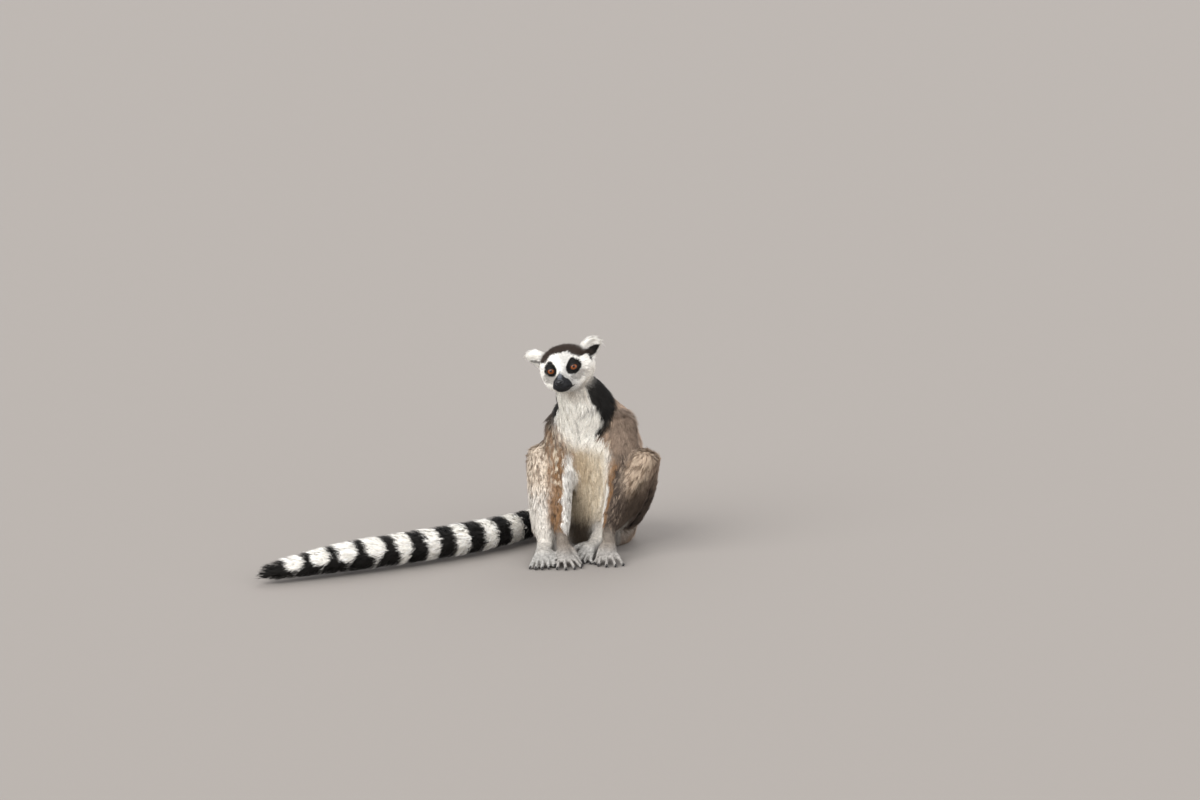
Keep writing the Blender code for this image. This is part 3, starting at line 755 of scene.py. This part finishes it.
def ear_colours(points):
    """White and fringed, with a black cup that shows below its middle."""
    place = in_head(points) / MM
    colour = np.tile(FUR["white"], (len(points), 1))
    for name, sign in SIDES.items():
        size, where, strength = EAR_CUP[name]
        middle = in_head([corner_mean(f"ear_{name}")])[0] / MM
        away = place - middle
        along = unit(np.array((middle[0], 0, middle[2] - 7)))
        low = away @ np.array((along[2], 0, -along[0])) * sign
        cup = np.hypot((away @ along - where[0]) / size[0], (low - where[1]) / size[1])
        mine = (place[:, 0] * sign > 20) & (away[:, 1] > -4)
        inside = ramp(1.0, 0.5, np.hypot((away @ along - 1) / 13, (low - 0.5) / 6)) * mine
        streaks = inside * ramp(-0.1, 0.35, ripple(place * MM, 3, 24))
        colour = mix(colour, FUR["grey_and_shade"] * 1.6, 0.55 * streaks)
        colour = mix(colour, FUR["black"], np.where(mine, strength * ramp(1.08, 0.8, cup), 0))
    return colour


def coat_colours(points, normals, shares, sign):
    """The colour of skin or coat: each kind's own markings, run together where kinds meet."""
    colour = np.zeros((len(points), 3))
    total = np.zeros(len(points))
    for k, kind in enumerate(KINDS):
        some = shares[:, k] > 0.03
        if not some.any():
            continue
        p, n, weight = points[some], normals[some], shares[some, k]
        if kind == "head":
            mine = head_colours(p)
        elif kind == "ear":
            mine = ear_colours(p)
        elif kind in ("neck", "trunk"):
            mine = torso_colours(p)
        elif kind in ("upper_arm", "forearm"):
            left, right = (arm_colours(p, n, which) for which in (1, -1))
            mine = np.where((sign[some] > 0)[:, None], left, right)
        elif kind in ("thigh", "shin"):
            left, right = (leg_colours(p, n, which, kind == "shin") for which in (1, -1))
            mine = np.where((sign[some] > 0)[:, None], left, right)
        elif kind == "hand":
            mine = paw_colours(p, FUR["hand"], FUR["wrist"])
        elif kind == "foot":
            mine = paw_colours(p, FUR["foot"], FUR["heel"])
        else:
            mine = tail_colours(p, n)
        colour[some] += mine * weight[:, None]
        total[some] += weight
    return colour / np.maximum(total, 1e-6)[:, None]


skin_sign = np.where([name.endswith("left") for name in skin_owner], 1.0, -1.0)
skin_colour = coat_colours(skin_points, skin_normals, share, skin_sign)


def colour_layer(mesh, name, colours):
    layer = mesh.color_attributes.new(name=name, type="FLOAT_COLOR", domain="POINT")
    opaque = np.column_stack([colours, np.ones(len(colours))])
    layer.data.foreach_set("color", opaque.astype(np.float32).ravel())


def as_piece(name, mesh, material):
    mesh.materials.clear()
    mesh.materials.append(material)
    obj = placed(name, mesh)
    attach(obj, "root")
    return obj


def set_sockets(node, values):
    for name, value in values.items():
        node.inputs[name].default_value = value


def surface(name, **sockets):
    """(material, nodes, links, shader), with the shader's own sockets set by name, _ for a space."""
    mat = bpy.data.materials.new(name)
    mat.use_nodes = True
    shader = mat.node_tree.nodes["Principled BSDF"]
    set_sockets(shader, {key.replace("_", " "): value for key, value in sockets.items()})
    return mat, mat.node_tree.nodes, mat.node_tree.links, shader


def uneven_group():
    """Colour that varies over a few millimetres, as in hair that is not all one shade."""
    tree = bpy.data.node_groups.new("Uneven shade", "ShaderNodeTree")
    for name, way, kind in (
        ("Colour", "INPUT", "Color"), ("Amount", "INPUT", "Float"), ("Grains per metre", "INPUT", "Float"),
        ("Colour", "OUTPUT", "Color"),
    ):
        tree.interface.new_socket(name, in_out=way, socket_type="NodeSocket" + kind)
    enter, leave, place, grain, spread, scaled, shade = (tree.nodes.new(kind) for kind in (
        "NodeGroupInput", "NodeGroupOutput", "ShaderNodeTexCoord", "ShaderNodeTexNoise",
        "ShaderNodeMapRange", "ShaderNodeMath", "ShaderNodeVectorMath",
    ))
    scaled.operation, shade.operation = "MULTIPLY_ADD", "SCALE"
    set_sockets(grain, {"Detail": 3})
    set_sockets(spread, {"From Min": 0.3, "From Max": 0.7, "To Min": -1, "To Max": 1})
    set_sockets(scaled, {2: 1})
    for source, out, target, into in (
        (place, "Object", grain, "Vector"), (enter, "Grains per metre", grain, "Scale"),
        (grain, "Fac", spread, "Value"), (spread, "Result", scaled, 0), (enter, "Amount", scaled, 1),
        (enter, "Colour", shade, 0), (scaled, 0, shade, "Scale"), (shade, "Vector", leave, "Colour"),
    ):
        tree.links.new(source.outputs[out], target.inputs[into])
    return tree


UNEVEN = uneven_group()


def furred(name, roughness, sheen, amount, grains):
    """The material of skin or coat: its colour is its marking, with some shade and sheen painted in, a
    little uneven.
    """
    mat, nodes, links, shader = surface(
        name, Roughness=roughness, Specular_IOR_Level=0.15, Sheen_Weight=sheen, Sheen_Roughness=0.4
    )
    marks, uneven = nodes.new("ShaderNodeAttribute"), nodes.new("ShaderNodeGroup")
    marks.attribute_name, uneven.node_tree = "coat_colour", UNEVEN
    set_sockets(uneven, {"Amount": amount, "Grains per metre": grains})
    links.new(marks.outputs["Color"], uneven.inputs["Colour"])
    links.new(uneven.outputs["Colour"], shader.inputs["Base Color"])
    return mat


skin_mesh.vertices.foreach_set("co", skin_points.ravel())
skin_mesh.update()
skin_mesh.shade_smooth()
colour_layer(skin_mesh, "coat_colour", skin_colour)
skin = as_piece("skin", skin_mesh, furred("skin", 0.62, 0.0, 0.25, 300))
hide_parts(*FLESH)

# ---------------------------------------------------------------------------
# The eyes: a glossy ball in each socket with an amber iris, a dark rim and a small
# pupil that lies a little wider than high, under a slightly raised cornea.
# ---------------------------------------------------------------------------
IRIS, PUPIL_WIDE, PUPIL_HIGH, CORNEA_RISE = 5.5, 1.9, 1.5, 0.3
IRIS_EDGE, IRIS_MIDDLE, IRIS_INNER = np.array((
    (0.04, 0.011, 0.004), (0.185, 0.052, 0.012), (0.10, 0.026, 0.007),
))
WHITE_OF_EYE, PUPIL = np.array((0.035, 0.02, 0.014)), np.array((0.004, 0.003, 0.003))
STEPS_ROUND = 72


def grid_mesh(name, rings, poles):
    """A closed skin over like rings of points and a pole at each end."""
    bm = bmesh.new()
    made = [[bm.verts.new(p) for p in ring] for ring in rings]
    count = len(made[0])
    for low, high in zip(made, made[1:]):
        for k in range(count):
            bm.faces.new((low[k], low[(k + 1) % count], high[(k + 1) % count], high[k]))
    for ring, pole in ((made[0], poles[0]), (made[-1], poles[1])):
        tip = bm.verts.new(pole)
        for k in range(count):
            bm.faces.new((ring[k], ring[(k + 1) % count], tip))
    bmesh.ops.recalc_face_normals(bm, faces=bm.faces)
    mesh = bpy.data.meshes.new(name)
    bm.to_mesh(mesh)
    bm.free()
    mesh.shade_smooth()
    return mesh


def eyeball(side):
    centre, out, ahead, up = eye_frame(side)
    angles = np.radians(np.concatenate([np.arange(1.5, 46, 1.5), np.arange(50, 178, 8)]))
    turns = np.arange(STEPS_ROUND) * 2 * np.pi / STEPS_ROUND

    def at(angle, turn):
        rise = CORNEA_RISE * ramp(IRIS + 0.4, 2.5, EYEBALL * math.sin(angle)) * (angle < 1.5)
        size = EYEBALL + rise
        flat = out * math.cos(turn) + up * math.sin(turn)
        return centre + size * (ahead * math.cos(angle) + flat * math.sin(angle))

    rings = [[Vector(from_head([at(a, t) * MM])[0]) for t in turns] for a in angles]
    poles = [Vector(from_head([at(a, 0.0) * MM])[0]) for a in (0.0, math.pi)]
    mesh = grid_mesh(f"eyeball_{side}", rings, poles)
    points, _, _ = arrays_of(mesh)
    away = in_head(points) / MM - centre
    x, y, z = away @ out, away @ up, away @ ahead
    around = np.hypot(x, y)
    spokes = 0.5 + 0.5 * np.sin(np.arctan2(y, x) * 23 + 2.0 * np.sin(np.arctan2(y, x) * 5))
    colour = mix(IRIS_INNER, IRIS_MIDDLE, ramp(1.6, 3.4, around))
    colour = mix(colour, IRIS_EDGE, ramp(4.2, 5.4, around)) * (0.8 + 0.35 * spokes)[:, None]
    colour = mix(colour, WHITE_OF_EYE, np.where(z > 0, ramp(IRIS - 0.3, IRIS + 0.1, around), 1))
    # painted shade: the eye darkens towards its top, as under the upper lid
    colour = colour * (1 - 0.55 * ramp(0.3, 3.6, y))[:, None]
    pupil = np.hypot(x / PUPIL_WIDE, y / PUPIL_HIGH)
    colour = mix(colour, PUPIL, np.where(z > 0, ramp(1.12, 0.92, pupil), 0))
    colour_layer(mesh, "eye_colour", colour)
    return mesh


eye_material, nodes, links, shader = surface(
    "wet eye", Roughness=0.25, Specular_IOR_Level=0.1, Coat_Weight=0.45, Coat_Roughness=0.03
)
eye_marks = nodes.new("ShaderNodeAttribute")
eye_marks.attribute_name = "eye_colour"
links.new(eye_marks.outputs["Color"], shader.inputs["Base Color"])
for side in SIDES:
    ball = as_piece(f"eyeball_{side}", eyeball(side), eye_material)
    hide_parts(f"eye_{side}")

# ---------------------------------------------------------------------------
# The nose: a bare, moist, finely pebbled pad with a comma of a nostril on each side and
# a groove down its middle.
# ---------------------------------------------------------------------------
NOSE_SWELL = 1.04
NOSTRIL_AT, NOSTRIL_SIZE, NOSTRIL_DEEP = (3.3, 0.2), (1.7, 1.05), 2.0


def nose_pad():
    low, high = (np.array(v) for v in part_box("nose"))
    middle = in_head([(low + high) / 2])[0] / MM
    shape = in_head(points_of("nose")) / MM - middle
    half = np.abs(shape).max(axis=0) * NOSE_SWELL
    bm = bmesh.new()
    bmesh.ops.create_uvsphere(bm, u_segments=96, v_segments=64, radius=1)
    mesh = bpy.data.meshes.new("nose_pad")
    bm.to_mesh(mesh)
    bm.free()
    points, _, _ = arrays_of(mesh)
    place = points * half
    side, ahead, up = place.T
    front = ramp(-0.5, 2.0, ahead)
    x, y = np.abs(side) - NOSTRIL_AT[0], up - NOSTRIL_AT[1] - 0.25 * (np.abs(side) - NOSTRIL_AT[0])
    pit = NOSTRIL_DEEP * np.exp(-(((x / NOSTRIL_SIZE[0]) ** 2 + (y / NOSTRIL_SIZE[1]) ** 2) ** 1.5))
    groove = 0.5 * hump(side, 0.45) * ramp(1.5, -1.5, up)
    wing = 0.35 * np.exp(-(((x - 0.4) / 1.6) ** 2 + ((y - 1.6) / 1.0) ** 2))
    place = place - unit(points) * ((pit + groove - wing) * front)[:, None]
    mesh.vertices.foreach_set("co", from_head((place + middle) * MM).ravel())
    mesh.flip_normals()
    mesh.update()
    mesh.shade_smooth()
    return mesh


nose_material, nodes, links, shader = surface(
    "nose leather", Base_Color=(0.008, 0.008, 0.009, 1), Roughness=0.33, Specular_IOR_Level=0.3
)
place, pebbles, bump = (nodes.new("ShaderNode" + kind) for kind in ("TexCoord", "TexVoronoi", "Bump"))
set_sockets(pebbles, {"Scale": 1900})
set_sockets(bump, {"Strength": 0.2, "Distance": 0.0003})
links.new(place.outputs["Object"], pebbles.inputs["Vector"])
links.new(pebbles.outputs["Distance"], bump.inputs["Height"])
links.new(bump.outputs["Normal"], shader.inputs["Normal"])
nose = as_piece("nose_pad", nose_pad(), nose_material)
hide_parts("nose")

# ---------------------------------------------------------------------------
# The nails: a small dark curved plate on the end of each digit.
# ---------------------------------------------------------------------------
NAIL_HALF = np.array((2.6, 1.5, 0.7)) * MM  # along, across, thick


def nails():
    bm = bmesh.new()
    for point, heading, paw in TIPS:
        grow = 1.15 if paw == "foot" else 1.0
        across = np.cross((0, 0, 1), heading)
        turn = Matrix((heading, across, (0, 0, 1))).transposed().to_4x4()
        tilt = Matrix.Rotation(math.radians(24), 4, "Y")
        middle = point - heading * 2.3 * MM + np.array((0, 0, 1.0 * MM))
        made = bmesh.ops.create_uvsphere(bm, u_segments=16, v_segments=10, radius=1)["verts"]
        bmesh.ops.scale(bm, vec=NAIL_HALF * grow, verts=made)
        bmesh.ops.transform(bm, matrix=Matrix.Translation(middle) @ turn @ tilt, verts=made)
    mesh = bpy.data.meshes.new("nails")
    bm.to_mesh(mesh)
    bm.free()
    mesh.shade_smooth()
    return mesh


nail_material = surface("dark horn", Base_Color=(0.022, 0.019, 0.018, 1), Roughness=0.4)[0]
as_piece("nails", nails(), nail_material)

# ---------------------------------------------------------------------------
# The coat: tapered tufts of solid hair rooted in the skin, one piece for each region. Each
# tuft rises from its root, bends over along the lie of the coat, and leans in with its
# neighbours to make a lock. Their tips end where the solids do.
# ---------------------------------------------------------------------------
RNG = np.random.default_rng(7)
noise.seed_set(7)  # noise_vector would otherwise differ from run to run
ROOT_SUNK = 0.5 * MM
FLOOR_CLEAR = 0.25 * MM
PATCH = 0.003  # of a tuft on its region's unwrap
SIDE_LIGHT = 0.45  # how far a tuft's sides turn away from its back in shading
STRAY_LUMP, STRAY_TOGETHER, STRAY_ALONE = 11 * MM, 0.55, 0.16  # how hair strays from its lie
BEND_AT = 0.45  # of a tuft's length
UNEVEN_LENGTH, UNEVEN_WIDTH = (0.62, 1.02), (0.7, 1.2)
UNDER_SHORTER, DIGIT_SHORTER = 0.35, 0.5
ROOT_RIDGE, MIDDLE_RIDGE, MIDDLE_NARROWER = 0.55, 0.5, 0.8  # of half the width
# kind: (share of the coat's depth that tips reach, first and second lean in degrees, half width in mm)
TUFT = {
    "head": (0.95, 34, 12, 0.33), "ear": (1.5, 35, 15, 0.28), "neck": (1.0, 34, 12, 0.60),
    "trunk": (1.0, 34, 12, 0.66), "upper_arm": (1.0, 34, 12, 0.50), "forearm": (1.0, 32, 12, 0.45),
    "hand": (0.9, 24, 6, 0.24), "thigh": (1.0, 34, 12, 0.52), "shin": (1.0, 34, 12, 0.48),
    "foot": (0.9, 24, 6, 0.25), "tail": (1.0, 46, 24, 0.62),
}
# tuft's faces over its seven points: root ring, middle ring, tip
TUFT_FACES = np.array((
    (0, 2, 1), (0, 1, 3), (1, 4, 3), (1, 2, 4), (2, 5, 4), (2, 0, 5), (0, 3, 5),
    (3, 4, 6), (4, 5, 6), (5, 3, 6),
))
TUFT_UNDER = np.array((0, 1, 2, 7))  # those that face the skin
TUFT_UV = np.array(((-0.5, -0.5), (0.5, -0.5), (0, -0.5), (-0.4, 0), (0.4, 0), (0, 0), (0, 0.5)))


def scatter(faces, count):
    """Roots spread evenly by area over these faces: (face, share of each corner)."""
    a, b, c = (skin_points[skin_faces[faces, k]] for k in range(3))
    area = length_of(np.cross(b - a, c - a))
    chosen = np.searchsorted(np.cumsum(area) / area.sum(), RNG.random(count))
    u, v = RNG.random(count), RNG.random(count)
    over = u + v > 1
    u[over], v[over] = 1 - u[over], 1 - v[over]
    return faces[np.minimum(chosen, len(faces) - 1)], np.column_stack([1 - u - v, u, v])


def at_roots(values, faces, shares):
    corners = values[skin_faces[faces]]
    return (corners * (shares if values.ndim == 1 else shares[:, :, None])).sum(axis=1)


def gathered(roots, middles, tips, per_lock, pull):
    """Leans each tuft towards the tip of the lock it belongs to."""
    leaders = RNG.choice(len(roots), max(1, len(roots) // per_lock), replace=False)
    tree = kdtree.KDTree(len(leaders))
    for i, leader in enumerate(leaders):
        tree.insert(roots[leader], i)
    tree.balance()
    lock = leaders[[tree.find(root)[1] for root in roots]]
    pull = pull[:, None]
    tips = tips - (tips - tips[lock]) * pull
    middles = middles - (middles - middles[lock]) * pull * 0.35
    return middles, tips


def unwrapped(points, kind):
    """Where points lie on a plain unwrap of their region: round it, and along it."""
    if kind == "tail":
        reach, way = along_tail(points)
        level = unit(np.cross(way, (0, 0, 1)))
        line = np.column_stack([np.interp(reach, TAIL_REACH, TAIL[:, k]) for k in range(3)])
        away = points - line
        return np.arctan2((away * level).sum(axis=1), away[:, 2]), reach
    if kind in ("head", "ear"):
        side, ahead, up = in_head(points).T
        return np.arctan2(side, up), np.arctan2(ahead, np.hypot(side, up))
    middle = points.mean(axis=0)
    axis = np.linalg.svd(points - middle, full_matrices=False)[2][0]
    across = unit(np.cross(axis, (0.3, 1, 0.2)))
    away = points - middle
    return np.arctan2(away @ np.cross(axis, across), away @ across), away @ axis


def spread_patches(values):
    low, high = values.min(), values.max()
    return 0.004 + 0.992 * (values - low) / (high - low)


def coat_piece(
    name, kinds, count, sides=(1, -1), density=None, per_lock=9, pull=0.5, where=None, fringe=None
):
    """The tufts of some kinds of region as one mesh: density thins them, fringe lengthens them."""
    owners_wanted = np.isin(skin_kind, [KINDS.index(k) for k in kinds]) & np.isin(skin_sign, sides)
    if where is not None:
        owners_wanted &= where(skin_points)
    faces = np.flatnonzero(owners_wanted[skin_faces].sum(axis=1) >= 2)
    face, shares = scatter(faces, count)
    roots = at_roots(skin_points, face, shares)
    normal = unit(at_roots(skin_normals, face, shares))
    if density is not None:
        kept = RNG.random(count) < density(roots, normal)
        face, shares, roots, normal = face[kept], shares[kept], roots[kept], normal[kept]
    way = at_roots(lie, face, shares)
    deep = at_roots(depth, face, shares)
    kind_share = at_roots(share, face, shares)
    sign = at_roots(skin_sign, face, shares)
    number = len(roots)
    reach, first, second, half = (kind_share @ np.array([TUFT[k][i] for k in KINDS]) for i in range(4))
    stray = np.array([noise.noise_vector(Vector(p)) for p in roots / STRAY_LUMP])
    stray = stray * STRAY_TOGETHER + RNG.normal(0, STRAY_ALONE, (number, 3))
    way = way + stray
    way = unit(way - (way * normal).sum(axis=1)[:, None] * normal)
    across = np.cross(normal, way)
    first = np.radians(first) * RNG.normal(1, 0.16, number)
    second = np.radians(second) * RNG.normal(1, 0.35, number)
    rise = BEND_AT * np.sin(first) + (1 - BEND_AT) * np.sin(np.maximum(second, 0.05))
    length = np.maximum(deep, 0.9 * MM) * reach / rise * RNG.uniform(*UNEVEN_LENGTH, number)
    length = length * (1 - UNDER_SHORTER * np.clip(-normal[:, 2], 0, 1))
    on_digit = ramp(DIGIT_LENGTH, 0.6 * DIGIT_LENGTH, distance_to(roots, TIP_POINTS))
    length = length * (1 - DIGIT_SHORTER * on_digit)
    if fringe is not None:
        extra = fringe(roots, normal)
        length = length * (1 + extra)
        first = first + 0.35 * np.minimum(extra, 1)

    def step(angle):
        return way * np.cos(angle)[:, None] + normal * np.sin(angle)[:, None]

    roots_at = roots - normal * ROOT_SUNK
    middles = roots + step(first) * (BEND_AT * length)[:, None]
    tips = middles + step(second) * ((1 - BEND_AT) * length)[:, None]
    middles, tips = gathered(roots, middles, tips, per_lock, pull * (1 - on_digit))
    half = half * MM * RNG.uniform(*UNEVEN_WIDTH, number) * np.interp(deep, (0.8 * MM, 4 * MM), (0.6, 1))
    half = half[:, None]
    points = np.stack([
        roots_at - across * half, roots_at + across * half, roots_at + normal * half * ROOT_RIDGE,
        middles - across * half * MIDDLE_NARROWER, middles + across * half * MIDDLE_NARROWER,
        middles + normal * half * MIDDLE_RIDGE, tips,
    ], axis=1)
    points[:, :, 2] = np.maximum(points[:, :, 2], FLOOR_CLEAR)
    shown = roots + (tips - roots) * 0.55  # where a tuft is seen, past the ones in front of it
    base = coat_colours(shown, normal, kind_share, sign)
    tone = RNG.normal(1, 0.10, number)[:, None] * (1 + 0.10 * ripple(roots, 5, 14))[:, None]
    # painted shade and light: each tuft is darker at its root, in among its neighbours, and lighter at its
    # tip
    shade = np.array((0.86, 0.86, 0.86, 0.99, 0.99, 1.0, 1.10))
    colours = np.clip(base * tone, 0.004, 0.9)[:, None, :] * shade[None, :, None]
    mesh = bpy.data.meshes.new(name)
    corner = (TUFT_FACES[None] + 7 * np.arange(number)[:, None, None]).ravel()
    mesh.vertices.add(number * 7)
    mesh.vertices.foreach_set("co", points.astype(np.float32).ravel())
    mesh.loops.add(len(corner))
    mesh.loops.foreach_set("vertex_index", corner.astype(np.int32))
    mesh.polygons.add(len(corner) // 3)
    mesh.polygons.foreach_set("loop_start", np.arange(0, len(corner), 3, dtype=np.int32))
    mesh.update(calc_edges=True)
    mesh.shade_smooth()
    low, high = (normal * np.cos(a)[:, None] - way * np.sin(a)[:, None] for a in (first, second))
    aside = SIDE_LIGHT * across
    facing = np.stack([low - aside, low + aside, low, high - aside, high + aside, high, high], axis=1)
    facing = unit(normal[:, None] + facing)[:, TUFT_FACES]
    below = -np.stack([low, low, low, high, high, high, high], axis=1)
    facing[:, TUFT_UNDER] = below[:, TUFT_FACES[TUFT_UNDER]]
    mesh.normals_split_custom_set(facing.reshape(-1, 3).tolist())
    round_it, down_it = (spread_patches(v) for v in unwrapped(roots, kinds[0]))
    places = np.column_stack([round_it, down_it])[:, None] + TUFT_UV[None] * PATCH
    layer = mesh.uv_layers.new(name="OFBake")
    layer.data.foreach_set("uv", places.reshape(-1, 2)[corner].astype(np.float32).ravel())
    colour_layer(mesh, "coat_colour", np.clip(colours, 0, 1).reshape(-1, 3))
    return mesh


coat_material = furred("coat", 0.65, 0.02, 0.16, 420)


def bare_face(roots, normal):
    """No tufts on the lids, between the lips or beside the nose pad."""
    place = in_head(roots) / MM
    side, ahead, up = place.T
    amount = np.where((ahead > 59) | ((np.abs(up - mouth_height(ahead)) < 0.8) & (ahead > 36)), 0, 1)
    for name in SIDES:
        centre, out, gaze, rise = eye_frame(name)
        away = place - centre
        amount = np.where((away @ gaze > -3) & (opening(away @ out, away @ rise) < 1.38), 0, amount)
    return amount


def ear_fringe(roots, normal):
    """Long hair along the upper rim and the tip of each ear."""
    place = in_head(roots) / MM
    sign = np.sign(place[:, 0])
    across, forward, above = (normal @ np.array(axis) for axis in (head_side, head_ahead, head_up))
    rim = ramp(0.62, 0.25, np.abs(0.56 * sign * across + 0.83 * forward))
    upper = ramp(-0.35, 0.35, above + 0.5 * sign * across)
    return 1.0 * rim * upper * ramp(34, 46, np.hypot(place[:, 0], place[:, 2] - 7))


def knee_cap(roots, normal):
    """Shorter, flatter hair over the bend of the knee."""
    top = np.where(roots[:, 0] > 0, KNEE_TOP["left"], KNEE_TOP["right"])
    return -0.38 * ramp(top - 34 * MM, top - 10 * MM, roots[:, 2])


def heel_and_knee(roots, normal):
    """The long white hair behind and outside the right heel, besides the knee's short hair."""
    height = roots[:, 2] / MM
    behind = ramp(-0.1, 0.7, normal @ np.array((-0.7, 0.7, 0)))
    heel = 0.8 * behind * ramp(62, 45, height) * ramp(10, 22, height)
    return heel + knee_cap(roots, normal)


def front_of(points):
    return np.abs(round_torso(points)) < 80


# name, kinds of region, number of tufts, how they lie, material slot
COAT = [
    ("coat_head", ("head",), 19900, dict(density=bare_face, per_lock=5, pull=0.35), "white_fur"),
    ("coat_ears", ("ear",), 6500, dict(per_lock=6, pull=0.4, fringe=ear_fringe), "white_fur"),
    ("coat_neck", ("neck",), 11000, dict(pull=0.55), "grey_brown_fur"),
    ("coat_breast", ("trunk",), 16000, dict(where=front_of, per_lock=10, pull=0.55), "white_fur"),
    ("coat_back", ("trunk",), 19500, dict(where=lambda p: ~front_of(p)), "grey_brown_fur"),
    ("coat_arm_left", ("upper_arm", "forearm"), 9500, dict(sides=(1,)), "grey_brown_fur"),
    ("coat_arm_right", ("upper_arm", "forearm"), 9500, dict(sides=(-1,)), "grey_brown_fur"),
    ("coat_leg_left", ("thigh", "shin"), 11500, dict(sides=(1,), fringe=knee_cap), "grey_brown_fur"),
    ("coat_leg_right", ("thigh", "shin"), 11500, dict(sides=(-1,), fringe=heel_and_knee), "grey_brown_fur"),
    ("coat_paws", ("hand", "foot"), 13000, dict(per_lock=4, pull=0.25), "white_fur"),
    ("coat_tail", ("tail",), 19500, dict(per_lock=7, pull=0.3), "ringed_fur"),
]
for name, kinds, count, settings, slot in COAT:
    piece = as_piece(name, coat_piece(name, kinds, count, **settings), coat_material)

# ---------------------------------------------------------------------------
# The studio: a pale floor, a broad soft light from the upper left, a fill from the right,
# a little light from behind, and the camera.
# ---------------------------------------------------------------------------
CAMERA_AZIMUTH, CAMERA_LIFT = 22, 14  # degrees
CAMERA_AIM, FRAME_WIDE = Vector((0.0086, 0.0035, 0.2309)), 1.86
LENS, SENSOR = 200, 36
LAMP_AWAY, FLOOR_HALF = 3.0, 14


def from_azimuth(azimuth, lift):
    """The direction to a lamp or the camera, in degrees from the animal's front and above the floor."""
    azimuth, lift = math.radians(azimuth), math.radians(lift)
    return Vector((math.sin(azimuth) * math.cos(lift), -math.cos(azimuth) * math.cos(lift), math.sin(lift)))


floor_mesh = bpy.data.meshes.new("floor")
corners = [(x * FLOOR_HALF, y * FLOOR_HALF, 0) for x, y in ((-1, -1), (1, -1), (1, 1), (-1, 1))]
floor_mesh.from_pydata(corners, [], [(0, 1, 2, 3)])
floor_mesh.materials.append(surface("pale floor", Base_Color=(0.22, 0.20, 0.18, 1), Roughness=0.9)[0])
placed("floor", floor_mesh)

for name, azimuth, lift, spread, strength in (
    ("key light", -26, 38, 50, 3.3), ("fill light", 66, 25, 70, 1.3), ("rim light", 185, 45, 40, 0.9),
    ("catch light", 8, 52, 9, 0.25),
):
    lamp = bpy.data.lights.new(name, "SUN")
    lamp.angle, lamp.energy = math.radians(spread), strength
    holder, away = placed(name, lamp), from_azimuth(azimuth, lift)
    holder.location = away * LAMP_AWAY
    holder.rotation_euler = away.to_track_quat("Z", "Y").to_euler()

world = bpy.data.worlds.new("studio")
world.use_nodes = True
set_sockets(world.node_tree.nodes["Background"], {"Color": (0.96, 0.96, 1.0, 1), "Strength": 1.0})
bpy.context.scene.world = world
bpy.context.scene.view_settings.view_transform = "Standard"

camera = bpy.data.cameras.new("camera")
camera.lens, camera.sensor_width, camera.clip_end = LENS, SENSOR, 60
camera_holder, view_line = placed("camera", camera), from_azimuth(CAMERA_AZIMUTH, CAMERA_LIFT)
camera_holder.location = CAMERA_AIM + view_line * (FRAME_WIDE * LENS / SENSOR)
camera_holder.rotation_euler = view_line.to_track_quat("Z", "Y").to_euler()
bpy.context.scene.camera = camera_holder

bpy.context.view_layer.update()
